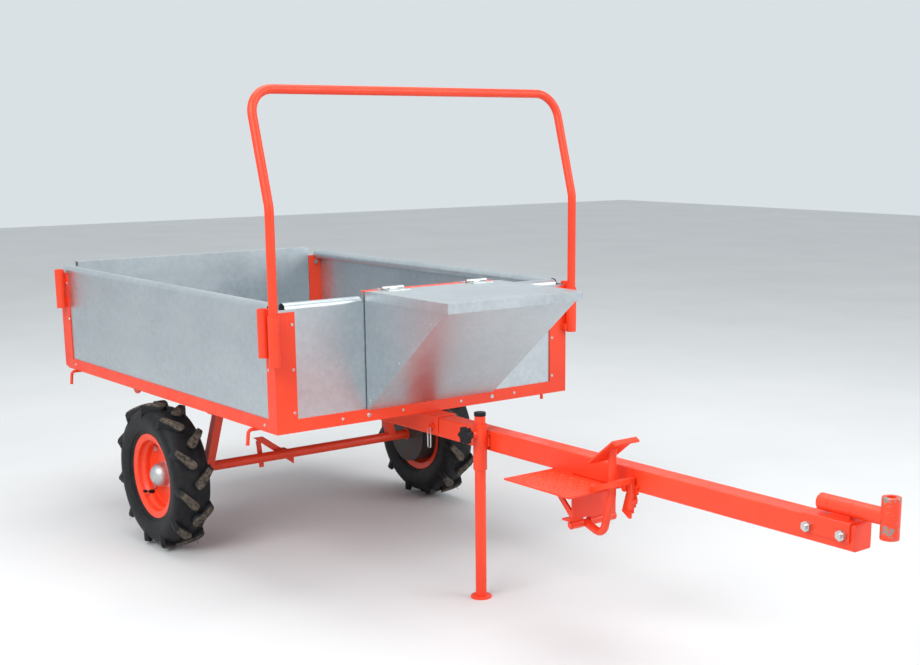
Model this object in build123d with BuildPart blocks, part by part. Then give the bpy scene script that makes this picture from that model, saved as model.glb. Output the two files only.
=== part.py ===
"""Tow behind cart: a two-wheel tipping cart for a walk-behind tractor.

Row frame: +X towards the hitch, +Y to the cart's left, +Z up, ground at z = 0, and the origin under the
middle of the whole length. Lengths are in millimetres.
"""
import math
import os

from build123d import *

os.makedirs("parts", exist_ok=True)

# ---------------------------------------------------------------- driving dimensions
# Load box
BOX_LENGTH = 1270
BOX_WIDTH = 912
BOX_BOTTOM = 425            # underside of the bottom rails above the ground
POST_TOP = 716
RAIL_HEIGHT = 32
RAIL_FLANGE = 25
ANGLE_WALL = 3
POST_FRONT_FLANGE = 58
POST_REAR_FLANGE = 50
POST_SIDE_FLANGE = 40
SHEET = 1.2                 # galvanised side and front sheets
FLOOR_SHEET = 2
BEAD_RADIUS = 15            # rolled top edge of the sheets
BEAD_HEIGHT = 722
SHEET_GAP = 0.2             # play between neighbouring sheets

# Running gear
AXLE_SETBACK = 655          # behind the box front
WHEEL_RADIUS = 204
WHEEL_CENTRE_Y = 445.5
AXLE_BEAM_RADIUS = 14
AXLE_BEAM_HALF = 372
SPINDLE_RADIUS = 10
SPINDLE_END = 472
SPINDLE_GRIP = 90           # length of spindle held inside the beam
SPINDLE_NUT = 30            # across flats
RUNNING_FIT = 0.05          # radial play of a shaft in its bore
BACKPLATE_WALL = 3
DRUM_RADIUS = 86
DRUM_WALL = 5
SHOE_WIDTH = 22
SHOE_DEPTH = 12
HUB_CORE_RADIUS = 30
HUB_BORE_RADIUS = 14
BEARING_RADIUS = 23.5
BEARING_WIDTH = 14
BEARING_OUTER = 454         # outboard face of the outer bearing
CAP_RADIUS = 33
CAP_FLANGE = 47.5
CAP_HEIGHT = 42

# Rim and tyre
RIM_FLANGE_RADIUS = 118
RIM_SEAT_RADIUS = 101.5
RIM_WELL_RADIUS = 93
RIM_HALF_WIDTH = 37.5
RIM_WALL = 3
DISC_WALL = 3
DISC_INSET = 4              # wheel disc's middle plane, inboard of the rim's middle
WHEEL_BOLT_PCD = 158
WHEEL_BOLT_COUNT = 4
WHEEL_BOLT_START = 35       # degrees
WHEEL_BOLT_RADIUS = 5
TYRE_HALF_WIDTH = 53
TYRE_SHOULDER_RADIUS = 184
TYRE_SHOULDER_HALF = 42
TYRE_THICKNESS = 28
TYRE_BEAD = 8

# Chassis
DRAWBAR = 50                # square tube
DRAWBAR_WALL = 3
DRAWBAR_REACH = 1349        # drawbar end ahead of the box front
DRAWBAR_CORNER = 4
BOLSTER_HALF = 335
TIP_SETBACK = 945           # tipping pivot behind the box front
TIP_TUBE_RADIUS = 17
TIP_TUBE_HALF = BOX_WIDTH / 2 - 78
TIP_ROD_RADIUS = 10
LUG_RADIUS = 22
LUG_WALL = 6
BEARER_SETBACK = 395
BEARER_WIDTH = 60
BLOCK_LENGTH = 60           # packing blocks under the ends of the front bearer
BLOCK_HALF = 15
BLOCK_DROP = 13
STRUT_SIZE = 25
STRUT_FOOT_Y = 313
STRUT_HEAD_Y = 269
SADDLE_WALL = 3
SADDLE_PLAY = 0.5           # play between lock saddle and drawbar
SADDLE_REACH = 60
SADDLE_EAR = 44             # depth of the saddle's ears
LOCK_REACH = 38
LOCK_RADIUS = 5
LOCK_HEAD_RADIUS = 8
LOCK_HEAD_WALL = 6
LOCK_EYE_Y = -40
LOCK_INNER_Y = 33
CLIP_WIRE = 1.4
CLIP_WIDTH = 12
CLIP_HEIGHT = 54
EQUALISER_Y = -60
EQUALISER_WALL = 5
EQUALISER_PLAY = 1
EQUALISER_BOLT_RADIUS = 6

# Jockey stand
STAND_X = 256               # ahead of the box front
STAND_LEG_RADIUS = 13.5
STAND_LEG_WALL = 2.6
STAND_SLEEVE_RADIUS = 17
STAND_Y = -(DRAWBAR / 2 + STAND_SLEEVE_RADIUS + 3)
STAND_FOOT_RADIUS = 26
STAND_FOOT_HEIGHT = 6
STAND_TOP = 460
STAND_CAP_HEIGHT = 9
SLEEVE_BOTTOM = 327
SLEEVE_TOP = 440
CLAMP_Z = 417
CLAMP_BOSS_RADIUS = 9
CLAMP_STUD_RADIUS = 5
KNOB_RADIUS = 17
KNOB_LOBES = 6
KNOB_LOBE_RADIUS = 5
KNOB_THICKNESS = 14

# Driver's footrest and brake pedal
FOOTPLATE_REAR = 500        # ahead of the box front
FOOTPLATE_LENGTH = 220
FOOTPLATE_Y = -168          # outer edge
FOOTPLATE_WALL = 4
PEDAL_PIVOT_X = 655
PEDAL_PIVOT_Z = 285
PEDAL_ROD_RADIUS = 9
PEDAL_SHAFT_RADIUS = 6.5
PEDAL_SLEEVE_RADIUS = 10
PEDAL_ARM_Y = -62
PEDAL_ELBOW = (58, -18)     # from the pivot
PEDAL_HEAD = (85, 175)      # from the pivot
PEDAL_BEND = 22
PEDAL_WEB_Y = -105
PAD_OUTER_Y = -98
PAD_INNER_Y = -(DRAWBAR / 2 + 2)
PAD_WALL = 4
PAD_TOE = (121, 204)        # from the pivot
PAD_HEEL = (46, 145)
PAD_LIP = 10
GUIDE_BAR = 12
GUIDE_REACH = 772
GUIDE_Z = 398
GUIDE_OUTER_Y = -92
GUIDE_INNER_Y = -(DRAWBAR / 2 + 10)
GUIDE_LEG = 64
RATCHET_WALL = 4
RATCHET_REACH = 620         # centre of its teeth ahead of the box front
RATCHET_RISE = 395
RATCHET_ROOT = 162
RATCHET_TIP = 168
RATCHET_TEETH = 6
RATCHET_START = -32
RATCHET_STEP = 5.3

# Hitch
HITCH_BUSH_X = 1407         # ahead of the box front
HITCH_BUSH_RADIUS = 18
HITCH_BORE_RADIUS = 9
HITCH_BUSH_HEIGHT = 80
HITCH_SADDLE_REAR = 1229
HITCH_SADDLE_FRONT = 1340
HITCH_SADDLE_WALL = 4
HITCH_SADDLE_PLAY = 0.3
HITCH_EAR_DROP = 33.5       # ears hang this far below the drawbar top
HITCH_BOLT_PLACES = (1245, 1325)
HITCH_BOLT_DROP = 20.5
HITCH_BOLT_RADIUS = 6
HITCH_HOLE_RADIUS = 6.5
SWIVEL_RADIUS = 16.5
SWIVEL_SHAFT_RADIUS = 11
SWIVEL_RISE = 24.5          # swivel axis above the drawbar top
SLEEVE_REAR = 1274.5
SLEEVE_LENGTH = 54
COLLAR_LENGTH = 26

# Toolbox
TOOLBOX_HALF = 200
TOOLBOX_DEPTH = 325
TOOLBOX_FOOT = 453          # where the sloping front meets the box
TOOLBOX_TOP = 750
TOOLBOX_NOSE = 26           # height of its upright front edge
LID_LIP = 24
LID_OVERHANG = 22
LID_REAR = 20
LID_PLAY = 3
HINGE_RAIL_DEPTH = 37
HINGE_RAIL_WALL = 3
HINGE_Y = (-130, 130)
HINGE_HALF = 32
HINGE_LEAF = 2
HINGE_KNUCKLE = 4
HINGE_PIN = 2

# Handrail and sockets
HOOP_RADIUS = 11
HOOP_WALL = 2
HOOP_HALF = BOX_WIDTH / 2 + 7
HOOP_TOP = 1228
HOOP_KNEE = 962
HOOP_LEAN = 16              # degrees towards the rear above the knee
HOOP_CORNER = 62
SOCKET_RADIUS = 14
SOCKET_FLOOR = 3
HOOP_SOCKET_BOTTOM = 592
HOOP_SOCKET_TOP = 713
STAKE_RADIUS = 13.5
STAKE_BORE_RADIUS = 10.5
STAKE_BOTTOM = 612
STAKE_TOP = 727
STAKE_OFFSET = 2.5          # spacer between corner post and stake socket
STAKE_SETBACK = 20          # from the corner, along the box
HOOK_RADIUS = 4.5
HOOK_FRONT = 120
HOOK_REAR = 55

# Tailgate
GATE_DEPTH = 18
GATE_TOP = 746
GATE_WALL = 3
GATE_PLAY = 1               # between the tailgate's stiles and the rear posts
GATE_HINGE_RISE = 12        # hinge axis above the underside of the rails
GATE_EYE_RADIUS = 8.5
GATE_PIN_RADIUS = 5
GATE_STUD_Y = BOX_WIDTH / 2 - 25
GATE_STUD_DROP = 20         # below the top of the posts
GATE_STUD_RADIUS = 4
GATE_NUT_HEIGHT = 12
GATE_NUT_RADIUS = 11
GATE_NUT_PLAY = 1.6
STIFFENER_Y = 221

# Play and fasteners
BODY_GAP = 0.3              # between pieces that move past each other
RIVET_RADIUS = 4
RAIL_BOLT_RADIUS = 6        # the two larger heads under the toolbox's corners
RAIL_RIVET_YS = (92, 272)
POST_RIVET_ZS = (473, 578, 686)
TOOLBOX_RIVET_XS = (12, 142, 270)
HEAD_M8 = 13                # across flats
HEAD_M10 = 16
HEAD_M12 = 19

# ---------------------------------------------------------------- worked-out places
FRONT_REACH = HITCH_BUSH_X + HITCH_BUSH_RADIUS
REAR_REACH = BOX_LENGTH + GATE_DEPTH + GATE_NUT_HEIGHT + BODY_GAP
BOX_FRONT = (REAR_REACH - FRONT_REACH) / 2
BOX_REAR = BOX_FRONT - BOX_LENGTH
BOX_SIDE = BOX_WIDTH / 2
RAIL_TOP = BOX_BOTTOM + RAIL_HEIGHT
FLOOR_BOTTOM = BOX_BOTTOM + ANGLE_WALL
FLOOR_TOP = FLOOR_BOTTOM + FLOOR_SHEET
SHEET_FACE = BOX_SIDE - ANGLE_WALL          # outer face of a side sheet
AXLE_X = BOX_FRONT - AXLE_SETBACK
AXLE_CENTRE = (AXLE_X, 0, WHEEL_RADIUS)
AXLE_AXIS = Axis(AXLE_CENTRE, (0, 1, 0))
DRAWBAR_HALF = DRAWBAR / 2
DRAWBAR_TOP = BOX_BOTTOM - SADDLE_WALL - SADDLE_PLAY
DRAWBAR_BOTTOM = DRAWBAR_TOP - DRAWBAR
DRAWBAR_Z = DRAWBAR_TOP - DRAWBAR_HALF
TIP_X = BOX_FRONT - TIP_SETBACK
TIP_Z = DRAWBAR_TOP - TIP_TUBE_RADIUS - SADDLE_PLAY
LUG_INNER_Y = TIP_TUBE_HALF + 1
LOCK_X = BOX_FRONT + LOCK_REACH
LOCK_Z = DRAWBAR_Z
SADDLE_INNER_Y = DRAWBAR_HALF + SADDLE_PLAY
SADDLE_OUTER_Y = SADDLE_INNER_Y + SADDLE_WALL
HUB_FACE = WHEEL_CENTRE_Y - DISC_INSET - DISC_WALL / 2
CAP_BASE = HUB_FACE + DISC_WALL
HUB_BACK = AXLE_BEAM_HALF + BACKPLATE_WALL + 3
STAND_PLACE_X = BOX_FRONT + STAND_X
CLAMP_BOSS_Y = STAND_Y - STAND_SLEEVE_RADIUS - 9
KNOB_INNER_Y = CLAMP_BOSS_Y - 11
KNOB_OUTER_Y = KNOB_INNER_Y - KNOB_THICKNESS
FOOTPLATE_BOTTOM = DRAWBAR_BOTTOM - FOOTPLATE_WALL
FOOTPLATE_REAR_X = BOX_FRONT + FOOTPLATE_REAR
FOOTPLATE_FRONT_X = FOOTPLATE_REAR_X + FOOTPLATE_LENGTH
PEDAL_X = BOX_FRONT + PEDAL_PIVOT_X
SWIVEL_Z = DRAWBAR_TOP + SWIVEL_RISE
SLEEVE_REAR_X = BOX_FRONT + SLEEVE_REAR
SLEEVE_FRONT_X = SLEEVE_REAR_X + SLEEVE_LENGTH
HITCH_BOLT_Z = DRAWBAR_TOP - HITCH_BOLT_DROP
LID_UNDERSIDE = TOOLBOX_TOP + BODY_GAP
LID_TOP = LID_UNDERSIDE + SHEET
HINGE_X = BOX_FRONT + LID_REAR - 1.5
HINGE_Z = LID_TOP + HINGE_KNUCKLE + 1
NOTCH_HALF = TOOLBOX_HALF + LID_PLAY + 2    # half the gap that the lid leaves in the front bead
GATE_HALF = BOX_SIDE - POST_REAR_FLANGE     # half the opening between the rear posts
GATE_OUTER_X = BOX_REAR - GATE_DEPTH
GATE_INNER_X = BOX_REAR - GATE_PLAY
GATE_HINGE_X = BOX_REAR - GATE_DEPTH / 2
GATE_HINGE_Z = BOX_BOTTOM + GATE_HINGE_RISE
GATE_STUD_Z = POST_TOP - GATE_STUD_DROP
STUD_TIP_X = GATE_OUTER_X - GATE_NUT_HEIGHT + 1


def save(node, *sub_parts):
    """Label a finished piece, or a group of pieces that stay separate solids, and write it."""
    if len(sub_parts) == 1:
        piece = sub_parts[0].part
    else:
        piece = Compound(children=[sub_part.part for sub_part in sub_parts])
    piece.label = node
    export_step(piece, f"parts/{node}.step")


def box_between(low, high, mode=Mode.ADD):
    """A block from its lowest to its highest corner."""
    middle = [(a + b) / 2 for a, b in zip(low, high)]
    size = [b - a for a, b in zip(low, high)]
    with Locations(tuple(middle)):
        Box(*size, mode=mode)


def span(side, near, far):
    """The lower and the upper y of a piece on one side of the middle plane."""
    return sorted((side * near, side * far))


def rod_between(start, end, radius, mode=Mode.ADD):
    """A round bar from one point to another."""
    direction = Vector(*end) - Vector(*start)
    with BuildSketch(Plane(origin=start, z_dir=direction)) as section:
        Circle(radius)
    extrude(section.sketch, amount=direction.length, mode=mode)


def tube_between(start, end, radius, bore):
    """A round tube from one point to another."""
    rod_between(start, end, radius)
    rod_between(start, end, bore, mode=Mode.SUBTRACT)


def hex_between(start, end, across_flats):
    """A hexagonal head or nut from one point to another."""
    direction = Vector(*end) - Vector(*start)
    with BuildSketch(Plane(origin=start, z_dir=direction)) as section:
        RegularPolygon(across_flats / 2, 6, major_radius=False)
    extrude(section.sketch, amount=direction.length)


def side_profile(y):
    """Drawing plane seen from the cart's right: x forward, z up; it faces -Y."""
    return Plane(origin=(0, y, 0), x_dir=(1, 0, 0), z_dir=(0, -1, 0))


def cross_profile(x):
    """Drawing plane across the cart: y to the left, z up; it faces the hitch."""
    return Plane(origin=(x, 0, 0), x_dir=(0, 1, 0), z_dir=(1, 0, 0))


# ================================================================ chassis
def make_drawbar():
    """Square tube from the tipping pivot to the hitch, closed at the front."""
    rear_x = TIP_X + 2
    length = BOX_FRONT + DRAWBAR_REACH - rear_x
    inside = DRAWBAR - 2 * DRAWBAR_WALL
    with BuildPart() as drawbar:
        with BuildSketch(Plane(origin=(rear_x, 0, DRAWBAR_Z), x_dir=(0, 1, 0), z_dir=(1, 0, 0))):
            RectangleRounded(DRAWBAR, DRAWBAR, DRAWBAR_CORNER)
        extrude(amount=length)
        with BuildSketch(Plane(origin=(rear_x, 0, DRAWBAR_Z), x_dir=(0, 1, 0), z_dir=(1, 0, 0))):
            RectangleRounded(inside, inside, DRAWBAR_CORNER / 2)
        extrude(amount=length - DRAWBAR_WALL, mode=Mode.SUBTRACT)
        rod_between((TIP_X, -DRAWBAR, TIP_Z), (TIP_X, DRAWBAR, TIP_Z), TIP_TUBE_RADIUS, Mode.SUBTRACT)
        for place in HITCH_BOLT_PLACES:
            x = BOX_FRONT + place
            rod_between((x, -DRAWBAR, HITCH_BOLT_Z), (x, DRAWBAR, HITCH_BOLT_Z), HITCH_HOLE_RADIUS,
                        Mode.SUBTRACT)
        rod_between((LOCK_X, -DRAWBAR, LOCK_Z), (LOCK_X, DRAWBAR, LOCK_Z), LOCK_RADIUS + RUNNING_FIT,
                    Mode.SUBTRACT)
    save("drawbar", drawbar)


def make_axle_frame():
    """Axle beam, bolster, the two leaning struts between them, and the brake lever's pivot bolt."""
    with BuildPart() as beam:
        tube_between((AXLE_X, -AXLE_BEAM_HALF, WHEEL_RADIUS), (AXLE_X, AXLE_BEAM_HALF, WHEEL_RADIUS),
                     AXLE_BEAM_RADIUS, SPINDLE_RADIUS)

    wall = DRAWBAR_WALL
    with BuildPart() as bolster:
        for side in (-1, 1):
            low_y, high_y = span(side, DRAWBAR_HALF, BOLSTER_HALF)
            box_between((AXLE_X - DRAWBAR_HALF, low_y, DRAWBAR_BOTTOM),
                        (AXLE_X + DRAWBAR_HALF, high_y, DRAWBAR_TOP))
            box_between((AXLE_X - DRAWBAR_HALF + wall, low_y, DRAWBAR_BOTTOM + wall),
                        (AXLE_X + DRAWBAR_HALF - wall, high_y, DRAWBAR_TOP - wall), Mode.SUBTRACT)

    width = STRUT_SIZE / 2
    with BuildPart() as struts:
        for side in (-1, 1):
            with BuildSketch(cross_profile(AXLE_X - width)):
                with BuildLine():
                    Polyline((side * (STRUT_FOOT_Y - width), WHEEL_RADIUS),
                             (side * (STRUT_FOOT_Y + width), WHEEL_RADIUS),
                             (side * (STRUT_HEAD_Y + width), DRAWBAR_BOTTOM),
                             (side * (STRUT_HEAD_Y - width), DRAWBAR_BOTTOM), close=True)
                make_face()
            extrude(amount=STRUT_SIZE)
        rod_between((AXLE_X, -AXLE_BEAM_HALF, WHEEL_RADIUS), (AXLE_X, AXLE_BEAM_HALF, WHEEL_RADIUS),
                    AXLE_BEAM_RADIUS, Mode.SUBTRACT)

    lever_x = AXLE_X - AXLE_BEAM_RADIUS - EQUALISER_PLAY - EQUALISER_WALL - BODY_GAP
    with BuildPart() as pivot_bolt:
        rod_between((AXLE_X, EQUALISER_Y, WHEEL_RADIUS), (lever_x, EQUALISER_Y, WHEEL_RADIUS),
                    EQUALISER_BOLT_RADIUS)
        hex_between((lever_x, EQUALISER_Y, WHEEL_RADIUS), (lever_x - 7, EQUALISER_Y, WHEEL_RADIUS), HEAD_M12)
        rod_between((AXLE_X, -AXLE_BEAM_HALF, WHEEL_RADIUS), (AXLE_X, AXLE_BEAM_HALF, WHEEL_RADIUS),
                    AXLE_BEAM_RADIUS, Mode.SUBTRACT)
    save("axle_frame", beam, bolster, struts, pivot_bolt)


def make_spindles():
    """Stub shafts in the beam's ends, each with its washer and nut."""
    with BuildPart() as spindles:
        for side in (-1, 1):
            rod_between((AXLE_X, side * (AXLE_BEAM_HALF - SPINDLE_GRIP), WHEEL_RADIUS),
                        (AXLE_X, side * SPINDLE_END, WHEEL_RADIUS), SPINDLE_RADIUS)

    start = BEARING_OUTER + BODY_GAP
    with BuildPart() as nuts:
        for side in (-1, 1):
            rod_between((AXLE_X, side * start, WHEEL_RADIUS), (AXLE_X, side * (start + 1.5), WHEEL_RADIUS),
                        SPINDLE_NUT / 2)
            hex_between((AXLE_X, side * (start + 1.5), WHEEL_RADIUS),
                        (AXLE_X, side * (SPINDLE_END - 2), WHEEL_RADIUS),
                        SPINDLE_NUT)
            rod_between((AXLE_X, side * start, WHEEL_RADIUS), (AXLE_X, side * SPINDLE_END, WHEEL_RADIUS),
                        SPINDLE_RADIUS, Mode.SUBTRACT)
    save("wheel_spindles", spindles, nuts)


def make_brakes():
    """Backing plates on the axle ends and a pair of shoes inside each drum."""
    plate_end = AXLE_BEAM_HALF + BACKPLATE_WALL
    with BuildPart() as backplates:
        for side in (-1, 1):
            tube_between((AXLE_X, side * AXLE_BEAM_HALF, WHEEL_RADIUS),
                         (AXLE_X, side * plate_end, WHEEL_RADIUS),
                         DRUM_RADIUS, SPINDLE_RADIUS)

    shoe_radius = DRUM_RADIUS - DRUM_WALL - 1
    with BuildPart() as shoes:
        for side in (-1, 1):
            tube_between((AXLE_X, side * plate_end, WHEEL_RADIUS),
                         (AXLE_X, side * (plate_end + SHOE_WIDTH), WHEEL_RADIUS),
                         shoe_radius, shoe_radius - SHOE_DEPTH)
        for level in (WHEEL_RADIUS - shoe_radius, WHEEL_RADIUS + shoe_radius):
            box_between((AXLE_X - SHOE_WIDTH, -BOX_SIDE, level - SHOE_WIDTH),
                        (AXLE_X + SHOE_WIDTH, BOX_SIDE, level + SHOE_WIDTH), Mode.SUBTRACT)
    save("drum_brakes", backplates, shoes)


def make_tip_pivot():
    """Cross tube at the rear of the drawbar, on which the load box tips."""
    with BuildPart() as tip_tube:
        tube_between((TIP_X, -TIP_TUBE_HALF, TIP_Z), (TIP_X, TIP_TUBE_HALF, TIP_Z), TIP_TUBE_RADIUS,
                     TIP_ROD_RADIUS + RUNNING_FIT)
    save("tip_pivot_tube", tip_tube)


def make_stand_sleeve():
    """Sleeve of the jockey stand with its side pad and clamp boss."""
    x = STAND_PLACE_X
    with BuildPart() as sleeve:
        rod_between((x, STAND_Y, SLEEVE_BOTTOM), (x, STAND_Y, SLEEVE_TOP), STAND_SLEEVE_RADIUS)
        box_between((x - 12, STAND_Y, DRAWBAR_BOTTOM + 4), (x + 12, -DRAWBAR_HALF, DRAWBAR_TOP - 6))
        rod_between((x, STAND_Y, CLAMP_Z), (x, CLAMP_BOSS_Y, CLAMP_Z), CLAMP_BOSS_RADIUS)
        rod_between((x, STAND_Y, SLEEVE_BOTTOM), (x, STAND_Y, SLEEVE_TOP), STAND_LEG_RADIUS + BODY_GAP,
                    Mode.SUBTRACT)
        rod_between((x, STAND_Y, CLAMP_Z), (x, CLAMP_BOSS_Y, CLAMP_Z), CLAMP_STUD_RADIUS + RUNNING_FIT,
                    Mode.SUBTRACT)
    save("stand_sleeve", sleeve)


def make_footrest():
    """Footplate under the drawbar, on the right-hand side."""
    with BuildPart() as footplate:
        box_between((FOOTPLATE_REAR_X, FOOTPLATE_Y, FOOTPLATE_BOTTOM),
                    (FOOTPLATE_FRONT_X, DRAWBAR_HALF, DRAWBAR_BOTTOM))
    save("footplate", footplate)


def make_pedal_bracket():
    """Web plate, foot flange and brace under the footplate, and the two sleeves that the pedal turns in."""
    web_x = PEDAL_X + 6
    web_bottom = PEDAL_PIVOT_Z + PEDAL_SLEEVE_RADIUS - 1
    arm_gap = PEDAL_ROD_RADIUS + 1
    wall = RATCHET_WALL
    with BuildPart() as bracket:
        box_between((web_x - wall, PEDAL_WEB_Y, web_bottom), (web_x, DRAWBAR_HALF, FOOTPLATE_BOTTOM))
        box_between((web_x - 26, PEDAL_WEB_Y - 8, web_bottom), (web_x, DRAWBAR_HALF, web_bottom + wall))
        with BuildSketch(side_profile(PEDAL_WEB_Y)):
            with BuildLine():
                Polyline((web_x - wall, web_bottom + wall), (web_x - wall, web_bottom + 22),
                         (web_x - 62, FOOTPLATE_BOTTOM), (web_x - 78, FOOTPLATE_BOTTOM), close=True)
            make_face()
        extrude(amount=-6)
        box_between((web_x - 26, PEDAL_ARM_Y - arm_gap, web_bottom),
                    (web_x, PEDAL_ARM_Y + arm_gap, web_bottom + wall), Mode.SUBTRACT)
        for start, end in ((PEDAL_WEB_Y, PEDAL_ARM_Y - arm_gap), (PEDAL_ARM_Y + arm_gap, DRAWBAR_HALF)):
            tube_between((PEDAL_X, start, PEDAL_PIVOT_Z), (PEDAL_X, end, PEDAL_PIVOT_Z), PEDAL_SLEEVE_RADIUS,
                         PEDAL_SHAFT_RADIUS + RUNNING_FIT)
    save("pedal_bracket", bracket)


def ratchet_outline():
    """Toothed sector: saw teeth along its front edge and a straight rear edge."""
    teeth = []
    for tooth in range(RATCHET_TEETH):
        start = RATCHET_START + tooth * RATCHET_STEP
        teeth += [(RATCHET_ROOT, start), (RATCHET_TIP, start + RATCHET_STEP / 4)]
    teeth += [(RATCHET_ROOT - 24, RATCHET_START + RATCHET_TEETH * RATCHET_STEP),
              (RATCHET_ROOT - 24, RATCHET_START)]
    centre_x = BOX_FRONT + RATCHET_REACH
    return [(centre_x + radius * math.cos(math.radians(turn)),
             RATCHET_RISE + radius * math.sin(math.radians(turn)))
            for radius, turn in teeth]


def make_pedal_guide():
    """Square bar bent round the pedal's arm, and the ratchet sector beside the drawbar that ends it."""
    loop_x = BOX_FRONT + GUIDE_REACH
    plate_x = FOOTPLATE_FRONT_X - GUIDE_BAR
    half = GUIDE_BAR / 2
    with BuildPart() as guide:
        with BuildSketch(side_profile(GUIDE_OUTER_Y + half)):
            with BuildLine():
                Polyline((plate_x, DRAWBAR_BOTTOM), (FOOTPLATE_FRONT_X, DRAWBAR_BOTTOM),
                         (loop_x, GUIDE_Z - half),
                         (loop_x, GUIDE_Z + half), (FOOTPLATE_FRONT_X - 3, DRAWBAR_BOTTOM + GUIDE_BAR),
                         (plate_x, DRAWBAR_BOTTOM + GUIDE_BAR), close=True)
            make_face()
        extrude(amount=GUIDE_BAR)
        box_between((loop_x - half, GUIDE_OUTER_Y - half, GUIDE_Z - half),
                    (loop_x + half, GUIDE_INNER_Y + half, GUIDE_Z + half))
        box_between((loop_x - half, GUIDE_INNER_Y - half, GUIDE_Z - GUIDE_LEG),
                    (loop_x + half, GUIDE_INNER_Y + half, GUIDE_Z))
        fillet(guide.edges().filter_by(Axis.Z).group_by(Axis.X)[-1], half / 2)

    outer_y = -DRAWBAR_HALF - RATCHET_WALL
    with BuildPart() as ratchet:
        with BuildSketch(side_profile(outer_y)):
            with BuildLine():
                Polyline(*ratchet_outline(), close=True)
            make_face()
        extrude(amount=-RATCHET_WALL)
        boss_x = loop_x - GUIDE_BAR / 2 - 12
        rod_between((boss_x, outer_y - 12, GUIDE_Z - 20), (boss_x, outer_y, GUIDE_Z - 20), 8)

    bolt_z = GUIDE_Z - GUIDE_LEG + 18
    with BuildPart() as guide_bolt:
        hex_between((loop_x + GUIDE_BAR / 2, GUIDE_INNER_Y, bolt_z),
                    (loop_x + GUIDE_BAR / 2 + 8, GUIDE_INNER_Y, bolt_z), 11)
    save("pedal_guide", guide, ratchet, guide_bolt)


def make_hitch():
    """Bent plate over the drawbar's end, its two cross bolts, and the sleeve that the swivel turns in."""
    wall = HITCH_SADDLE_WALL
    inner = DRAWBAR_HALF + HITCH_SADDLE_PLAY
    outer = inner + wall
    low_x = BOX_FRONT + HITCH_SADDLE_REAR
    high_x = BOX_FRONT + HITCH_SADDLE_FRONT
    ear_z = DRAWBAR_TOP - HITCH_EAR_DROP
    bolt_xs = [BOX_FRONT + place for place in HITCH_BOLT_PLACES]
    with BuildPart() as saddle:
        box_between((low_x, -outer, ear_z), (high_x, outer, DRAWBAR_TOP + wall))
        fillet(saddle.edges().filter_by(Axis.X).group_by(Axis.Z)[-1], wall * 0.9)
        box_between((low_x, -inner, ear_z), (high_x, inner, DRAWBAR_TOP), Mode.SUBTRACT)
        box_between((SLEEVE_REAR_X + 4, -9, DRAWBAR_TOP + wall), (SLEEVE_FRONT_X - 4, 9, SWIVEL_Z))
        rod_between((low_x, 0, SWIVEL_Z), (high_x, 0, SWIVEL_Z), SWIVEL_RADIUS, Mode.SUBTRACT)
        for x in bolt_xs:
            rod_between((x, -DRAWBAR, HITCH_BOLT_Z), (x, DRAWBAR, HITCH_BOLT_Z), HITCH_HOLE_RADIUS,
                        Mode.SUBTRACT)
    save("hitch_saddle", saddle)

    with BuildPart() as bolts:
        for x in bolt_xs:
            rod_between((x, -outer - 15, HITCH_BOLT_Z), (x, outer, HITCH_BOLT_Z), HITCH_BOLT_RADIUS)
            hex_between((x, outer, HITCH_BOLT_Z), (x, outer + 7.5, HITCH_BOLT_Z), HEAD_M12)
    with BuildPart() as nuts:
        for x in bolt_xs:
            hex_between((x, -outer, HITCH_BOLT_Z), (x, -outer - 10, HITCH_BOLT_Z), HEAD_M12)
            rod_between((x, -outer, HITCH_BOLT_Z), (x, -outer - 10, HITCH_BOLT_Z), HITCH_BOLT_RADIUS,
                        Mode.SUBTRACT)
    save("hitch_bolts", bolts, nuts)

    with BuildPart() as sleeve:
        tube_between((SLEEVE_REAR_X, 0, SWIVEL_Z), (SLEEVE_FRONT_X, 0, SWIVEL_Z), SWIVEL_RADIUS,
                     SWIVEL_SHAFT_RADIUS + RUNNING_FIT)
    save("swivel_sleeve", sleeve)


# ================================================================ hitch swivel
def make_swivel():
    """Shaft in the sleeve, the retaining collar behind it and the upright bush in front."""
    bush_x = BOX_FRONT + HITCH_BUSH_X
    low_z = SWIVEL_Z - HITCH_BUSH_HEIGHT / 2
    high_z = SWIVEL_Z + HITCH_BUSH_HEIGHT / 2
    collar_front = SLEEVE_REAR_X - BODY_GAP
    collar_rear = collar_front - COLLAR_LENGTH
    with BuildPart() as shaft:
        rod_between((collar_rear + 2, 0, SWIVEL_Z), (bush_x, 0, SWIVEL_Z), SWIVEL_SHAFT_RADIUS)
        rod_between((SLEEVE_FRONT_X + BODY_GAP, 0, SWIVEL_Z), (bush_x, 0, SWIVEL_Z), SWIVEL_RADIUS)
        rod_between((bush_x, 0, low_z), (bush_x, 0, high_z), HITCH_BUSH_RADIUS, Mode.SUBTRACT)
    save("swivel_shaft", shaft)

    with BuildPart() as collar:
        rod_between((collar_rear, 0, SWIVEL_Z), (collar_front, 0, SWIVEL_Z), SWIVEL_RADIUS)
        chamfer(collar.edges().group_by(Axis.X)[0], 2)
        rod_between((collar_rear + 2, 0, SWIVEL_Z), (collar_front, 0, SWIVEL_Z), SWIVEL_SHAFT_RADIUS,
                    Mode.SUBTRACT)
    save("swivel_collar", collar)

    with BuildPart() as bush:
        rod_between((bush_x, 0, low_z), (bush_x, 0, high_z), HITCH_BUSH_RADIUS)
        fillet(bush.edges().filter_by(GeomType.CIRCLE), 1.5)
        rod_between((bush_x, 0, low_z), (bush_x, 0, high_z), HITCH_BORE_RADIUS, Mode.SUBTRACT)
    save("hitch_bush", bush)


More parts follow.
